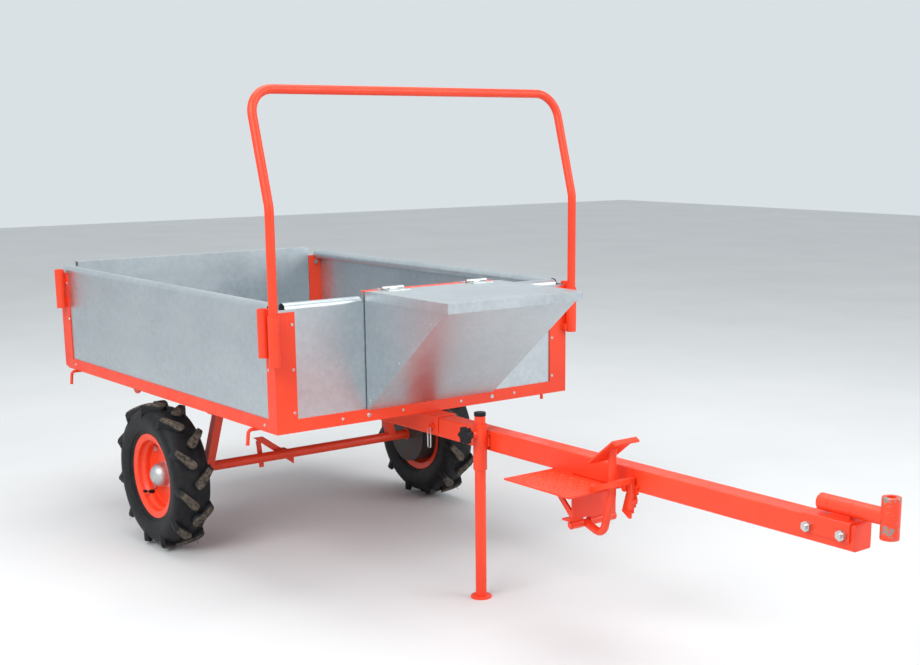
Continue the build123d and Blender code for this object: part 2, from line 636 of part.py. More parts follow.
# ================================================================ jockey stand and its clamp
def make_stand():
    """Leg with its round foot, and the cap plugged into its top."""
    x = STAND_PLACE_X
    bore = STAND_LEG_RADIUS - STAND_LEG_WALL
    with BuildPart() as leg:
        rod_between((x, STAND_Y, 0), (x, STAND_Y, STAND_FOOT_HEIGHT), STAND_FOOT_RADIUS)
        fillet(leg.edges().group_by(Axis.Z)[-1], 2.5)
        rod_between((x, STAND_Y, STAND_FOOT_HEIGHT), (x, STAND_Y, STAND_TOP), STAND_LEG_RADIUS)
        rod_between((x, STAND_Y, STAND_FOOT_HEIGHT), (x, STAND_Y, STAND_TOP), bore, Mode.SUBTRACT)
    save("stand_leg", leg)

    with BuildPart() as cap:
        rod_between((x, STAND_Y, STAND_TOP), (x, STAND_Y, STAND_TOP + STAND_CAP_HEIGHT), STAND_LEG_RADIUS + 1)
        fillet(cap.edges().group_by(Axis.Z)[-1], 2)
        rod_between((x, STAND_Y, STAND_TOP - 14), (x, STAND_Y, STAND_TOP), bore)
    save("stand_cap", cap)


def make_clamp():
    """Star knob and the stud that it drives through the sleeve's boss towards the leg."""
    x = STAND_PLACE_X
    stud_end = KNOB_OUTER_Y + 5
    with BuildPart() as stud:
        rod_between((x, STAND_Y - STAND_LEG_RADIUS - BODY_GAP, CLAMP_Z), (x, stud_end, CLAMP_Z),
                    CLAMP_STUD_RADIUS)

    with BuildPart() as knob:
        rod_between((x, KNOB_INNER_Y, CLAMP_Z), (x, KNOB_OUTER_Y, CLAMP_Z), KNOB_RADIUS)
        for lobe in range(KNOB_LOBES):
            turn = 2 * math.pi * lobe / KNOB_LOBES
            lobe_x = x + KNOB_RADIUS * math.cos(turn)
            lobe_z = CLAMP_Z + KNOB_RADIUS * math.sin(turn)
            rod_between((lobe_x, KNOB_INNER_Y, lobe_z), (lobe_x, KNOB_OUTER_Y, lobe_z), KNOB_LOBE_RADIUS)
        rod_between((x, KNOB_INNER_Y, CLAMP_Z), (x, stud_end, CLAMP_Z), CLAMP_STUD_RADIUS, Mode.SUBTRACT)
    save("clamp_knob", knob, stud)


# ================================================================ brake pedal
def make_pedal():
    """Bent round bar on a cross shaft, and the sloping foot pad on top of it."""
    heel = (PEDAL_X + PAD_HEEL[0], PEDAL_PIVOT_Z + PAD_HEEL[1])
    toe = (PEDAL_X + PAD_TOE[0], PEDAL_PIVOT_Z + PAD_TOE[1])
    elbow = (PEDAL_X + PEDAL_ELBOW[0], PEDAL_PIVOT_Z + PEDAL_ELBOW[1])
    head = (PEDAL_X + PEDAL_HEAD[0], PEDAL_PIVOT_Z + PEDAL_HEAD[1] + 30)
    with BuildPart() as arm:
        with BuildLine():
            FilletPolyline((PEDAL_X, PEDAL_ARM_Y, PEDAL_PIVOT_Z), (elbow[0], PEDAL_ARM_Y, elbow[1]),
                           (head[0], PEDAL_ARM_Y, PEDAL_PIVOT_Z + 78), (head[0], PEDAL_ARM_Y, head[1]),
                           radius=PEDAL_BEND)
        with BuildSketch(Plane(origin=(PEDAL_X, PEDAL_ARM_Y, PEDAL_PIVOT_Z),
                               z_dir=(PEDAL_ELBOW[0], 0, PEDAL_ELBOW[1]))):
            Circle(PEDAL_ROD_RADIUS)
        sweep()
        with BuildSketch(side_profile(PAD_INNER_Y)):
            with BuildLine():
                Polyline(heel, toe, (toe[0], toe[1] + 60), (heel[0], toe[1] + 60), close=True)
            make_face()
        extrude(amount=PAD_INNER_Y - PAD_OUTER_Y, mode=Mode.SUBTRACT)
        rod_between((PEDAL_X, PEDAL_WEB_Y - 3, PEDAL_PIVOT_Z), (PEDAL_X, DRAWBAR_HALF + 3, PEDAL_PIVOT_Z),
                    PEDAL_SHAFT_RADIUS)
    save("pedal_arm", arm)

    slope = math.atan2(toe[1] - heel[1], toe[0] - heel[0])
    rise = (-PAD_WALL * math.sin(slope), PAD_WALL * math.cos(slope))
    with BuildPart() as pad:
        with BuildSketch(side_profile(PAD_INNER_Y)):
            with BuildLine():
                Polyline(heel, toe, (toe[0] + PAD_LIP, toe[1] - PAD_LIP / 2),
                         (toe[0] + PAD_LIP, toe[1] - PAD_LIP / 2 + PAD_WALL), (toe[0], toe[1] + PAD_WALL + 1),
                         (heel[0] + rise[0], heel[1] + rise[1]), close=True)
            make_face()
        extrude(amount=PAD_INNER_Y - PAD_OUTER_Y)
    save("pedal_pad", pad)


# ================================================================ box lock and brake lever
def make_lock():
    """Cross pin through the drawbar, and the wire loop that hangs from its end."""
    head_y = -SADDLE_OUTER_Y - BODY_GAP
    with BuildPart() as pin:
        rod_between((LOCK_X, LOCK_EYE_Y - 5, LOCK_Z), (LOCK_X, LOCK_INNER_Y, LOCK_Z), LOCK_RADIUS)
        rod_between((LOCK_X, head_y - LOCK_HEAD_WALL, LOCK_Z), (LOCK_X, head_y, LOCK_Z), LOCK_HEAD_RADIUS)
        rod_between((LOCK_X - 10, LOCK_EYE_Y, LOCK_Z), (LOCK_X + 10, LOCK_EYE_Y, LOCK_Z), CLIP_WIRE + 1,
                    Mode.SUBTRACT)
    save("lock_pin", pin)

    with BuildPart() as clip:
        with BuildSketch(Plane(origin=(LOCK_X, LOCK_EYE_Y, LOCK_Z - CLIP_HEIGHT / 2), x_dir=(1, 0, 0),
                               z_dir=(0, -1, 0))):
            RectangleRounded(CLIP_WIDTH + CLIP_WIRE, CLIP_HEIGHT + CLIP_WIRE, CLIP_WIDTH / 3)
            RectangleRounded(CLIP_WIDTH - CLIP_WIRE, CLIP_HEIGHT - CLIP_WIRE, CLIP_WIDTH / 4,
                             mode=Mode.SUBTRACT)
        extrude(amount=CLIP_WIRE, both=True)
    save("lock_clip", clip)


def make_brake_lever():
    """Rocking lever behind the axle beam: an upright bar crossed by a slanting one."""
    face_x = AXLE_X - AXLE_BEAM_RADIUS - EQUALISER_PLAY
    with BuildPart() as lever:
        with BuildSketch(cross_profile(face_x)):
            with BuildLine():
                Polyline((EQUALISER_Y - 96, WHEEL_RADIUS + 58), (EQUALISER_Y - 66, WHEEL_RADIUS + 58),
                         (EQUALISER_Y + 34, WHEEL_RADIUS - 14), (EQUALISER_Y + 34, WHEEL_RADIUS - 38),
                         close=True)
            make_face()
            with BuildLine():
                Polyline((EQUALISER_Y - 88, WHEEL_RADIUS + 48), (EQUALISER_Y - 74, WHEEL_RADIUS + 48),
                         (EQUALISER_Y - 66, WHEEL_RADIUS - 32), (EQUALISER_Y - 80, WHEEL_RADIUS - 32),
                         close=True)
            make_face()
            with Locations((EQUALISER_Y, WHEEL_RADIUS)):
                Circle(16)
                Circle(EQUALISER_BOLT_RADIUS + RUNNING_FIT, mode=Mode.SUBTRACT)
        extrude(amount=-EQUALISER_WALL)
    save("brake_lever", lever)


# ================================================================ wheels
def wheel_plane(side):
    """Section plane through a wheel's axis: local x is outboard from the cart's middle, y is radius."""
    return Plane(origin=AXLE_CENTRE, x_dir=(0, side, 0), z_dir=(side, 0, 0))


def bolt_places():
    """Centres of the wheel bolts in the XZ plane."""
    step = 360 / WHEEL_BOLT_COUNT
    turns = [math.radians(WHEEL_BOLT_START + step * index) for index in range(WHEEL_BOLT_COUNT)]
    radius = WHEEL_BOLT_PCD / 2
    return [(AXLE_X + radius * math.cos(turn), WHEEL_RADIUS + radius * math.sin(turn)) for turn in turns]


def rim_outline():
    """Drop-centre rim section: flange, seat, well, seat, flange."""
    seat, well, half, wall = RIM_SEAT_RADIUS, RIM_WELL_RADIUS, RIM_HALF_WIDTH, RIM_WALL
    outer = [(-half, RIM_FLANGE_RADIUS), (-half + wall, RIM_FLANGE_RADIUS), (-half + wall, seat), (-20, seat),
             (-12, well), (14, well), (22, seat), (half - wall, seat), (half - wall, RIM_FLANGE_RADIUS),
             (half, RIM_FLANGE_RADIUS)]
    inner = [(half, seat - wall), (23, seat - wall), (15, well - wall), (-13, well - wall),
             (-21, seat - wall), (-half, seat - wall)]
    return [(WHEEL_CENTRE_Y + across, radius) for across, radius in outer + inner]


def make_tyre(side, name):
    """Tyre casing, open between its beads."""
    middle, seat = WHEEL_CENTRE_Y, RIM_SEAT_RADIUS
    half = RIM_HALF_WIDTH - RIM_WALL
    bead = half - TYRE_BEAD
    sidewall = (RIM_FLANGE_RADIUS + TYRE_SHOULDER_RADIUS) / 2
    with BuildPart() as tyre:
        with BuildSketch(wheel_plane(side)):
            with BuildLine():
                Line((middle - half, seat), (middle - half, RIM_FLANGE_RADIUS))
                ThreePointArc((middle - half, RIM_FLANGE_RADIUS), (middle - TYRE_HALF_WIDTH, sidewall),
                              (middle - TYRE_SHOULDER_HALF, TYRE_SHOULDER_RADIUS))
                ThreePointArc((middle - TYRE_SHOULDER_HALF, TYRE_SHOULDER_RADIUS), (middle, WHEEL_RADIUS),
                              (middle + TYRE_SHOULDER_HALF, TYRE_SHOULDER_RADIUS))
                ThreePointArc((middle + TYRE_SHOULDER_HALF, TYRE_SHOULDER_RADIUS),
                              (middle + TYRE_HALF_WIDTH, sidewall), (middle + half, RIM_FLANGE_RADIUS))
                Polyline((middle + half, RIM_FLANGE_RADIUS), (middle + half, seat), (middle + bead, seat),
                         (middle + bead, RIM_FLANGE_RADIUS))
                ThreePointArc((middle + bead, RIM_FLANGE_RADIUS), (middle, WHEEL_RADIUS - TYRE_THICKNESS),
                              (middle - bead, RIM_FLANGE_RADIUS))
                Polyline((middle - bead, RIM_FLANGE_RADIUS), (middle - bead, seat), (middle - half, seat))
            make_face()
        revolve(axis=AXLE_AXIS)
    save(f"tyre_{name}", tyre)


def make_rim(side, name):
    """Rim and wheel disc, welded into one pressing."""
    with BuildPart() as rim:
        with BuildSketch(wheel_plane(side)):
            with BuildLine():
                Polyline(*rim_outline(), close=True)
            make_face()
            with BuildLine():
                Polyline((HUB_FACE, HUB_CORE_RADIUS), (CAP_BASE, HUB_CORE_RADIUS),
                         (CAP_BASE, RIM_WELL_RADIUS - 2), (HUB_FACE, RIM_WELL_RADIUS - 2), close=True)
            make_face()
        revolve(axis=AXLE_AXIS)
        for x, z in bolt_places():
            rod_between((x, side * HUB_FACE, z), (x, side * CAP_BASE, z), WHEEL_BOLT_RADIUS, Mode.SUBTRACT)
    save(f"rim_{name}", rim)


def make_hub(side, name):
    """Hub and brake drum in one casting, bored for two bearings."""
    web_back = HUB_FACE - DRUM_WALL
    bearing_back = BEARING_OUTER - BEARING_WIDTH
    with BuildPart() as hub:
        with BuildSketch(wheel_plane(side)):
            with BuildLine():
                Polyline((HUB_BACK, BEARING_RADIUS), (HUB_BACK, HUB_CORE_RADIUS), (web_back, HUB_CORE_RADIUS),
                         (web_back, DRUM_RADIUS - DRUM_WALL), (HUB_BACK - 1, DRUM_RADIUS - DRUM_WALL),
                         (HUB_BACK - 1, DRUM_RADIUS), (HUB_FACE, DRUM_RADIUS), (HUB_FACE, HUB_CORE_RADIUS),
                         (BEARING_OUTER, HUB_CORE_RADIUS), (BEARING_OUTER, BEARING_RADIUS),
                         (bearing_back, BEARING_RADIUS), (bearing_back, HUB_BORE_RADIUS),
                         (HUB_BACK + BEARING_WIDTH, HUB_BORE_RADIUS),
                         (HUB_BACK + BEARING_WIDTH, BEARING_RADIUS),
                         close=True)
            make_face()
        revolve(axis=AXLE_AXIS)
        for x, z in bolt_places():
            rod_between((x, side * web_back, z), (x, side * HUB_FACE, z), WHEEL_BOLT_RADIUS, Mode.SUBTRACT)
    save(f"hub_{name}", hub)

    with BuildPart() as bearings:
        for start in (HUB_BACK, bearing_back):
            tube_between((AXLE_X, side * start, WHEEL_RADIUS),
                         (AXLE_X, side * (start + BEARING_WIDTH), WHEEL_RADIUS),
                         BEARING_RADIUS, SPINDLE_RADIUS + RUNNING_FIT)
    save(f"wheel_bearings_{name}", bearings)


def make_hub_cap(side, name):
    """Pressed dust cap over the spindle's nut."""
    base, wall = CAP_BASE, SHEET
    crown = CAP_RADIUS * 0.3
    shoulder = base + CAP_HEIGHT * 0.43
    bulge = (base + CAP_HEIGHT * 0.84, CAP_RADIUS * 0.72)
    with BuildPart() as cap:
        with BuildSketch(wheel_plane(side)):
            with BuildLine():
                Polyline((base, CAP_RADIUS - wall), (base, CAP_FLANGE), (base + wall, CAP_FLANGE),
                         (base + wall, CAP_RADIUS), (shoulder, CAP_RADIUS))
                ThreePointArc((shoulder, CAP_RADIUS), bulge, (base + CAP_HEIGHT, crown))
                Polyline((base + CAP_HEIGHT, crown), (base + CAP_HEIGHT, 0), (base + CAP_HEIGHT - wall, 0),
                         (base + CAP_HEIGHT - wall, crown))
                ThreePointArc((base + CAP_HEIGHT - wall, crown), (bulge[0] - wall, bulge[1] - wall / 2),
                              (shoulder, CAP_RADIUS - wall))
                Line((shoulder, CAP_RADIUS - wall), (base, CAP_RADIUS - wall))
            make_face()
        revolve(axis=AXLE_AXIS)
    save(f"hub_cap_{name}", cap)


def make_wheel_bolts(side, name):
    """Four bolts that hold the disc on the drum."""
    with BuildPart() as bolts:
        for x, z in bolt_places():
            rod_between((x, side * (HUB_FACE - DRUM_WALL), z), (x, side * CAP_BASE, z), WHEEL_BOLT_RADIUS)
            hex_between((x, side * CAP_BASE, z), (x, side * (CAP_BASE + 6), z), HEAD_M10)
    save(f"wheel_bolts_{name}", bolts)


# ================================================================ load box
def make_rails():
    """Bottom frame of four angle rails."""
    wall = ANGLE_WALL
    with BuildPart() as side_rails:
        for side in (-1, 1):
            flange = span(side, BOX_SIDE - RAIL_FLANGE, BOX_SIDE)
            web = span(side, BOX_SIDE - wall, BOX_SIDE)
            box_between((BOX_REAR + RAIL_FLANGE, flange[0], BOX_BOTTOM),
                        (BOX_FRONT - RAIL_FLANGE, flange[1], FLOOR_BOTTOM))
            box_between((BOX_REAR + wall, web[0], BOX_BOTTOM), (BOX_FRONT - wall, web[1], RAIL_TOP))

    with BuildPart() as end_rails:
        for face, inward in ((BOX_FRONT, -1), (BOX_REAR, 1)):
            web = sorted((face, face + inward * wall))
            flange = sorted((face, face + inward * RAIL_FLANGE))
            box_between((web[0], -BOX_SIDE, BOX_BOTTOM), (web[1], BOX_SIDE, RAIL_TOP))
            box_between((flange[0], wall - BOX_SIDE, BOX_BOTTOM), (flange[1], BOX_SIDE - wall, FLOOR_BOTTOM))
    save("bottom_rails", side_rails, end_rails)


def make_posts():
    """Four corner posts of angle section; the rear ones are drilled for the tailgate's studs."""
    wall = ANGLE_WALL
    with BuildPart() as posts:
        for face, inward, width in ((BOX_FRONT, -1, POST_FRONT_FLANGE), (BOX_REAR, 1, POST_REAR_FLANGE)):
            web = sorted((face, face + inward * wall))
            along = sorted((face, face + inward * POST_SIDE_FLANGE))
            for side in (-1, 1):
                across = span(side, BOX_SIDE - width, BOX_SIDE)
                skin = span(side, BOX_SIDE - wall, BOX_SIDE)
                box_between((web[0], across[0], RAIL_TOP), (web[1], across[1], POST_TOP))
                box_between((along[0], skin[0], RAIL_TOP), (along[1], skin[1], POST_TOP))
        for y in (-GATE_STUD_Y, GATE_STUD_Y):
            rod_between((BOX_REAR, y, GATE_STUD_Z), (BOX_REAR + wall, y, GATE_STUD_Z), GATE_STUD_RADIUS,
                        Mode.SUBTRACT)
    save("corner_posts", posts)


def make_bearers():
    """Flat bars under the floor; the rear one carries the lugs of the tipping pivot."""
    with BuildPart() as bearers:
        for x in (BOX_FRONT - BEARER_SETBACK, TIP_X):
            box_between((x - BEARER_WIDTH / 2, RAIL_FLANGE - BOX_SIDE, BOX_BOTTOM),
                        (x + BEARER_WIDTH / 2, BOX_SIDE - RAIL_FLANGE, FLOOR_BOTTOM))
        for side in (-1, 1):
            pad_y = span(side, BOX_SIDE - RAIL_FLANGE - BLOCK_LENGTH, BOX_SIDE - RAIL_FLANGE)
            box_between((BOX_FRONT - BEARER_SETBACK - BLOCK_HALF, pad_y[0], BOX_BOTTOM - BLOCK_DROP),
                        (BOX_FRONT - BEARER_SETBACK + BLOCK_HALF, pad_y[1], BOX_BOTTOM))
            low_y, high_y = span(side, LUG_INNER_Y, LUG_INNER_Y + LUG_WALL)
            box_between((TIP_X - LUG_RADIUS, low_y, TIP_Z), (TIP_X + LUG_RADIUS, high_y, BOX_BOTTOM))
            rod_between((TIP_X, low_y, TIP_Z), (TIP_X, high_y, TIP_Z), LUG_RADIUS)
            rod_between((TIP_X, low_y, TIP_Z), (TIP_X, high_y, TIP_Z), TIP_ROD_RADIUS, Mode.SUBTRACT)
    save("floor_bearers", bearers)

    end = LUG_INNER_Y + LUG_WALL + 5
    with BuildPart() as rod:
        rod_between((TIP_X, -end, TIP_Z), (TIP_X, end, TIP_Z), TIP_ROD_RADIUS)
        chamfer(rod.edges().filter_by(GeomType.CIRCLE), 1)
    save("tip_pivot_rod", rod)


def make_lock_saddle():
    """Bent plate under the front rail that straddles the drawbar; its ears are slotted for the pin."""
    low_x, high_x = BOX_FRONT - SADDLE_REACH, BOX_FRONT + SADDLE_REACH
    ear_z = BOX_BOTTOM - SADDLE_EAR
    slot = LOCK_RADIUS + SADDLE_PLAY
    with BuildPart() as saddle:
        box_between((low_x, -SADDLE_OUTER_Y, ear_z), (high_x, SADDLE_OUTER_Y, BOX_BOTTOM))
        fillet(saddle.edges().filter_by(Axis.X).group_by(Axis.Z)[-1], SADDLE_WALL * 0.9)
        box_between((low_x, -SADDLE_INNER_Y, ear_z), (high_x, SADDLE_INNER_Y, BOX_BOTTOM - SADDLE_WALL),
                    Mode.SUBTRACT)
        rod_between((LOCK_X, -SADDLE_OUTER_Y, LOCK_Z), (LOCK_X, SADDLE_OUTER_Y, LOCK_Z), slot, Mode.SUBTRACT)
        box_between((LOCK_X - slot, -SADDLE_OUTER_Y, ear_z), (LOCK_X + slot, SADDLE_OUTER_Y, LOCK_Z),
                    Mode.SUBTRACT)
    save("lock_saddle", saddle)


def make_sheets():
    """Floor and the galvanised sides and front with their rolled top edges."""
    rear_x = BOX_REAR + ANGLE_WALL + 1
    front_face = BOX_FRONT - ANGLE_WALL
    edge = SHEET_FACE - SHEET - SHEET_GAP
    with BuildPart() as floor:
        box_between((rear_x, -edge, FLOOR_BOTTOM), (front_face - SHEET - SHEET_GAP, edge, FLOOR_TOP))
    save("floor_panel", floor)

    bead_y = SHEET_FACE - BEAD_RADIUS
    with BuildPart() as sides:
        for side in (-1, 1):
            skin = span(side, SHEET_FACE - SHEET, SHEET_FACE)
            box_between((rear_x, skin[0], FLOOR_BOTTOM),
                        (front_face - SHEET - SHEET_GAP, skin[1], BEAD_HEIGHT))
            tube_between((rear_x, side * bead_y, BEAD_HEIGHT),
                         (front_face - 2 * BEAD_RADIUS - 3, side * bead_y, BEAD_HEIGHT),
                         BEAD_RADIUS, BEAD_RADIUS - SHEET)
    save("side_panels", sides)

    with BuildPart() as front:
        box_between((front_face - SHEET, -edge, FLOOR_BOTTOM), (front_face, edge, BEAD_HEIGHT))
        box_between((front_face - SHEET, -NOTCH_HALF, BEAD_HEIGHT),
                    (front_face, NOTCH_HALF, TOOLBOX_TOP - HINGE_RAIL_WALL))
        for side in (-1, 1):
            tube_between((front_face - BEAD_RADIUS, side * (NOTCH_HALF + 1), BEAD_HEIGHT),
                         (front_face - BEAD_RADIUS, side * (bead_y - BEAD_RADIUS - 1), BEAD_HEIGHT),
                         BEAD_RADIUS, BEAD_RADIUS - SHEET)
    save("front_panel", front)


def make_sockets():
    """Round sockets: two for the handrail on the front face and four for stakes on the sides."""
    bore = HOOP_RADIUS + BODY_GAP
    x = BOX_FRONT + SOCKET_RADIUS
    with BuildPart() as hoop_sockets:
        for side in (-1, 1):
            place = (x, side * HOOP_HALF)
            rod_between((*place, HOOP_SOCKET_BOTTOM), (*place, HOOP_SOCKET_TOP), SOCKET_RADIUS)
            for z in (HOOP_SOCKET_BOTTOM + SOCKET_RADIUS, HOOP_SOCKET_TOP - SOCKET_RADIUS):
                spacer = span(side, BOX_SIDE - SOCKET_RADIUS, HOOP_HALF)
                box_between((BOX_FRONT, spacer[0], z - 8), (x, spacer[1], z + 8))
            rod_between((*place, HOOP_SOCKET_BOTTOM + SOCKET_FLOOR), (*place, HOOP_SOCKET_TOP), bore,
                        Mode.SUBTRACT)
            rod_between((*place, HOOP_SOCKET_BOTTOM), (*place, HOOP_SOCKET_TOP), bore / 2, Mode.SUBTRACT)
    save("hoop_sockets", hoop_sockets)

    y = BOX_SIDE + STAKE_OFFSET + STAKE_RADIUS
    with BuildPart() as stake_sockets:
        for x in (BOX_FRONT - STAKE_SETBACK, BOX_REAR + STAKE_SETBACK):
            for side in (-1, 1):
                rod_between((x, side * y, STAKE_BOTTOM), (x, side * y, STAKE_TOP), STAKE_RADIUS)
                spacer = span(side, BOX_SIDE, y)
                for z in (STAKE_BOTTOM + 22, POST_TOP - 24):
                    box_between((x - 7, spacer[0], z - 9), (x + 7, spacer[1], z + 9))
                rod_between((x, side * y, STAKE_BOTTOM), (x, side * y, STAKE_TOP), STAKE_BORE_RADIUS,
                            Mode.SUBTRACT)
    save("stake_sockets", stake_sockets)


def make_rope_hooks():
    """Four bent rods under the side rails, for tying the load down."""
    z = BOX_BOTTOM - HOOK_RADIUS
    start = BOX_SIDE - 20
    with BuildPart() as hooks:
        for x in (BOX_FRONT - HOOK_FRONT, BOX_REAR + HOOK_REAR):
            for side in (-1, 1):
                with BuildLine():
                    FilletPolyline((x, side * start, z), (x, side * (BOX_SIDE + 12), z),
                                   (x, side * (BOX_SIDE + 16), z - 38), radius=10)
                with BuildSketch(Plane(origin=(x, side * start, z), z_dir=(0, side, 0))):
                    Circle(HOOK_RADIUS)
                sweep()
    save("rope_hooks", hooks)


def make_toolbox():
    """Wedge-shaped toolbox on the box front, and the hinge rail along its top rear edge."""
    wall = SHEET
    foot, head = BOX_FRONT, BOX_FRONT + TOOLBOX_DEPTH
    nose_z = TOOLBOX_TOP - TOOLBOX_NOSE
    slope = (nose_z - TOOLBOX_FOOT) / TOOLBOX_DEPTH
    thick = wall * math.hypot(1, slope)
    inside = TOOLBOX_HALF - wall
    rail_z = TOOLBOX_TOP - HINGE_RAIL_WALL
    rail_front = BOX_FRONT + LID_REAR - 3
    with BuildPart() as toolbox:
        with BuildSketch(side_profile(TOOLBOX_HALF)):
            with BuildLine():
                Polyline((foot, TOOLBOX_FOOT), (foot, TOOLBOX_TOP), (head, TOOLBOX_TOP), (head, nose_z),
                         close=True)
            make_face()
        extrude(amount=2 * TOOLBOX_HALF)
        with BuildSketch(side_profile(inside)):
            with BuildLine():
                Polyline((foot + wall, TOOLBOX_FOOT + slope * wall + thick), (foot + wall, TOOLBOX_TOP),
                         (head - wall, TOOLBOX_TOP), (head - wall, nose_z - slope * wall + thick), close=True)
            make_face()
        extrude(amount=2 * inside, mode=Mode.SUBTRACT)
        box_between((foot, -inside, rail_z), (foot + wall, inside, TOOLBOX_TOP), Mode.SUBTRACT)
    save("toolbox_body", toolbox)

    with BuildPart() as rail:
        box_between((rail_front - HINGE_RAIL_DEPTH, -inside, rail_z), (rail_front, inside, TOOLBOX_TOP))
        box_between((BOX_FRONT - ANGLE_WALL, -inside, rail_z - 7), (BOX_FRONT, inside, rail_z))
    save("hinge_rail", rail)


def make_hinges():
    """Fixed leaves with their pins, on the hinge rail, and the moving leaves, on the lid."""
    with BuildPart() as leaves:
        for y in HINGE_Y:
            box_between((BOX_FRONT - HINGE_HALF / 2, y - HINGE_HALF, TOOLBOX_TOP),
                        (HINGE_X - HINGE_KNUCKLE, y + HINGE_HALF, TOOLBOX_TOP + HINGE_LEAF))
            for end in (-1, 1):
                low_y, high_y = sorted((y + end * HINGE_HALF, y + end * HINGE_HALF / 3))
                rod_between((HINGE_X, low_y, HINGE_Z), (HINGE_X, high_y, HINGE_Z), HINGE_KNUCKLE)
                box_between((HINGE_X - HINGE_KNUCKLE, low_y, TOOLBOX_TOP),
                            (HINGE_X - HINGE_KNUCKLE + HINGE_LEAF, high_y, HINGE_Z))
            rod_between((HINGE_X, y - HINGE_HALF, HINGE_Z), (HINGE_X, y + HINGE_HALF, HINGE_Z), HINGE_PIN)
    save("hinge_leaves", leaves)

    third = HINGE_HALF / 3 - BODY_GAP
    with BuildPart() as lid_leaves:
        for y in HINGE_Y:
            box_between((HINGE_X + HINGE_KNUCKLE + BODY_GAP, y - HINGE_HALF, LID_TOP),
                        (HINGE_X + HINGE_HALF, y + HINGE_HALF, LID_TOP + HINGE_LEAF))
            rod_between((HINGE_X, y - third, HINGE_Z), (HINGE_X, y + third, HINGE_Z), HINGE_KNUCKLE)
            box_between((HINGE_X + HINGE_KNUCKLE - HINGE_LEAF, y - third, LID_TOP),
                        (HINGE_X + HINGE_KNUCKLE + BODY_GAP, y + third, HINGE_Z))
            rod_between((HINGE_X, y - HINGE_HALF, HINGE_Z), (HINGE_X, y + HINGE_HALF, HINGE_Z),
                        HINGE_PIN + RUNNING_FIT, Mode.SUBTRACT)
    save("lid_leaves", lid_leaves)


def make_lid():
    """Tray-shaped lid, open at the rear."""
    half = TOOLBOX_HALF + LID_PLAY + SHEET
    low, high = BOX_FRONT + LID_REAR, BOX_FRONT + TOOLBOX_DEPTH + LID_OVERHANG
    with BuildPart() as lid:
        box_between((low, -half, LID_TOP - LID_LIP), (high, half, LID_TOP))
        box_between((low, SHEET - half, LID_TOP - LID_LIP), (high - SHEET, half - SHEET, LID_UNDERSIDE),
                    Mode.SUBTRACT)
    save("toolbox_lid", lid)


def make_hoop():
    """Handrail: upright legs in the front sockets, leaning back above the knee."""
    x = BOX_FRONT + SOCKET_RADIUS
    bottom = HOOP_SOCKET_BOTTOM + SOCKET_FLOOR + BODY_GAP
    top_x = x - (HOOP_TOP - HOOP_KNEE) * math.tan(math.radians(HOOP_LEAN))
    with BuildPart() as hoop:
        with BuildLine():
            FilletPolyline((x, -HOOP_HALF, bottom), (x, -HOOP_HALF, HOOP_KNEE), (top_x, -HOOP_HALF, HOOP_TOP),
                           (top_x, HOOP_HALF, HOOP_TOP), (x, HOOP_HALF, HOOP_KNEE), (x, HOOP_HALF, bottom),
                           radius=HOOP_CORNER)
        with BuildSketch(Plane(origin=(x, -HOOP_HALF, bottom), z_dir=(0, 0, 1))):
            Circle(HOOP_RADIUS)
            Circle(HOOP_RADIUS - HOOP_WALL, mode=Mode.SUBTRACT)
        sweep()
    save("handrail_hoop", hoop)


def make_rivets():
    """Domed rivet heads on the rails, the posts and the toolbox, and two larger bolt heads below it."""
    rail_z = BOX_BOTTOM + RAIL_HEIGHT / 2
    post_y = BOX_SIDE - POST_FRONT_FLANGE + 2 * RIVET_RADIUS
    front = [(side * y, rail_z, RIVET_RADIUS) for side in (-1, 1) for y in RAIL_RIVET_YS]
    front += [(side * (TOOLBOX_HALF - 5), rail_z, RAIL_BOLT_RADIUS) for side in (-1, 1)]
    front += [(side * post_y, z, RIVET_RADIUS) for side in (-1, 1) for z in POST_RIVET_ZS]
    box_sides = [(BOX_FRONT - 60, BOX_SIDE, rail_z), (BOX_REAR + 60, BOX_SIDE, rail_z)]
    box_sides.append((BOX_FRONT - 33, BOX_SIDE, POST_RIVET_ZS[1]))
    box_sides += [(BOX_REAR + 33, BOX_SIDE, z) for z in POST_RIVET_ZS[1:]]
    slope = (TOOLBOX_TOP - TOOLBOX_NOSE - TOOLBOX_FOOT) / TOOLBOX_DEPTH
    toolbox_sides = [(BOX_FRONT + x, TOOLBOX_HALF, TOOLBOX_FOOT + slope * x + 17) for x in TOOLBOX_RIVET_XS]
    with BuildPart() as rivets:
        for y, z, radius in front:
            with BuildSketch(Plane(origin=(BOX_FRONT, y, z), z_dir=(1, 0, 0))):
                Circle(radius)
            extrude(amount=radius / 3, taper=30)
        for side in (-1, 1):
            for x, y, z in box_sides + toolbox_sides:
                with BuildSketch(Plane(origin=(x, side * y, z), z_dir=(0, side, 0))):
                    Circle(RIVET_RADIUS)
                extrude(amount=RIVET_RADIUS / 3, taper=30)
    save("rivets", rivets)


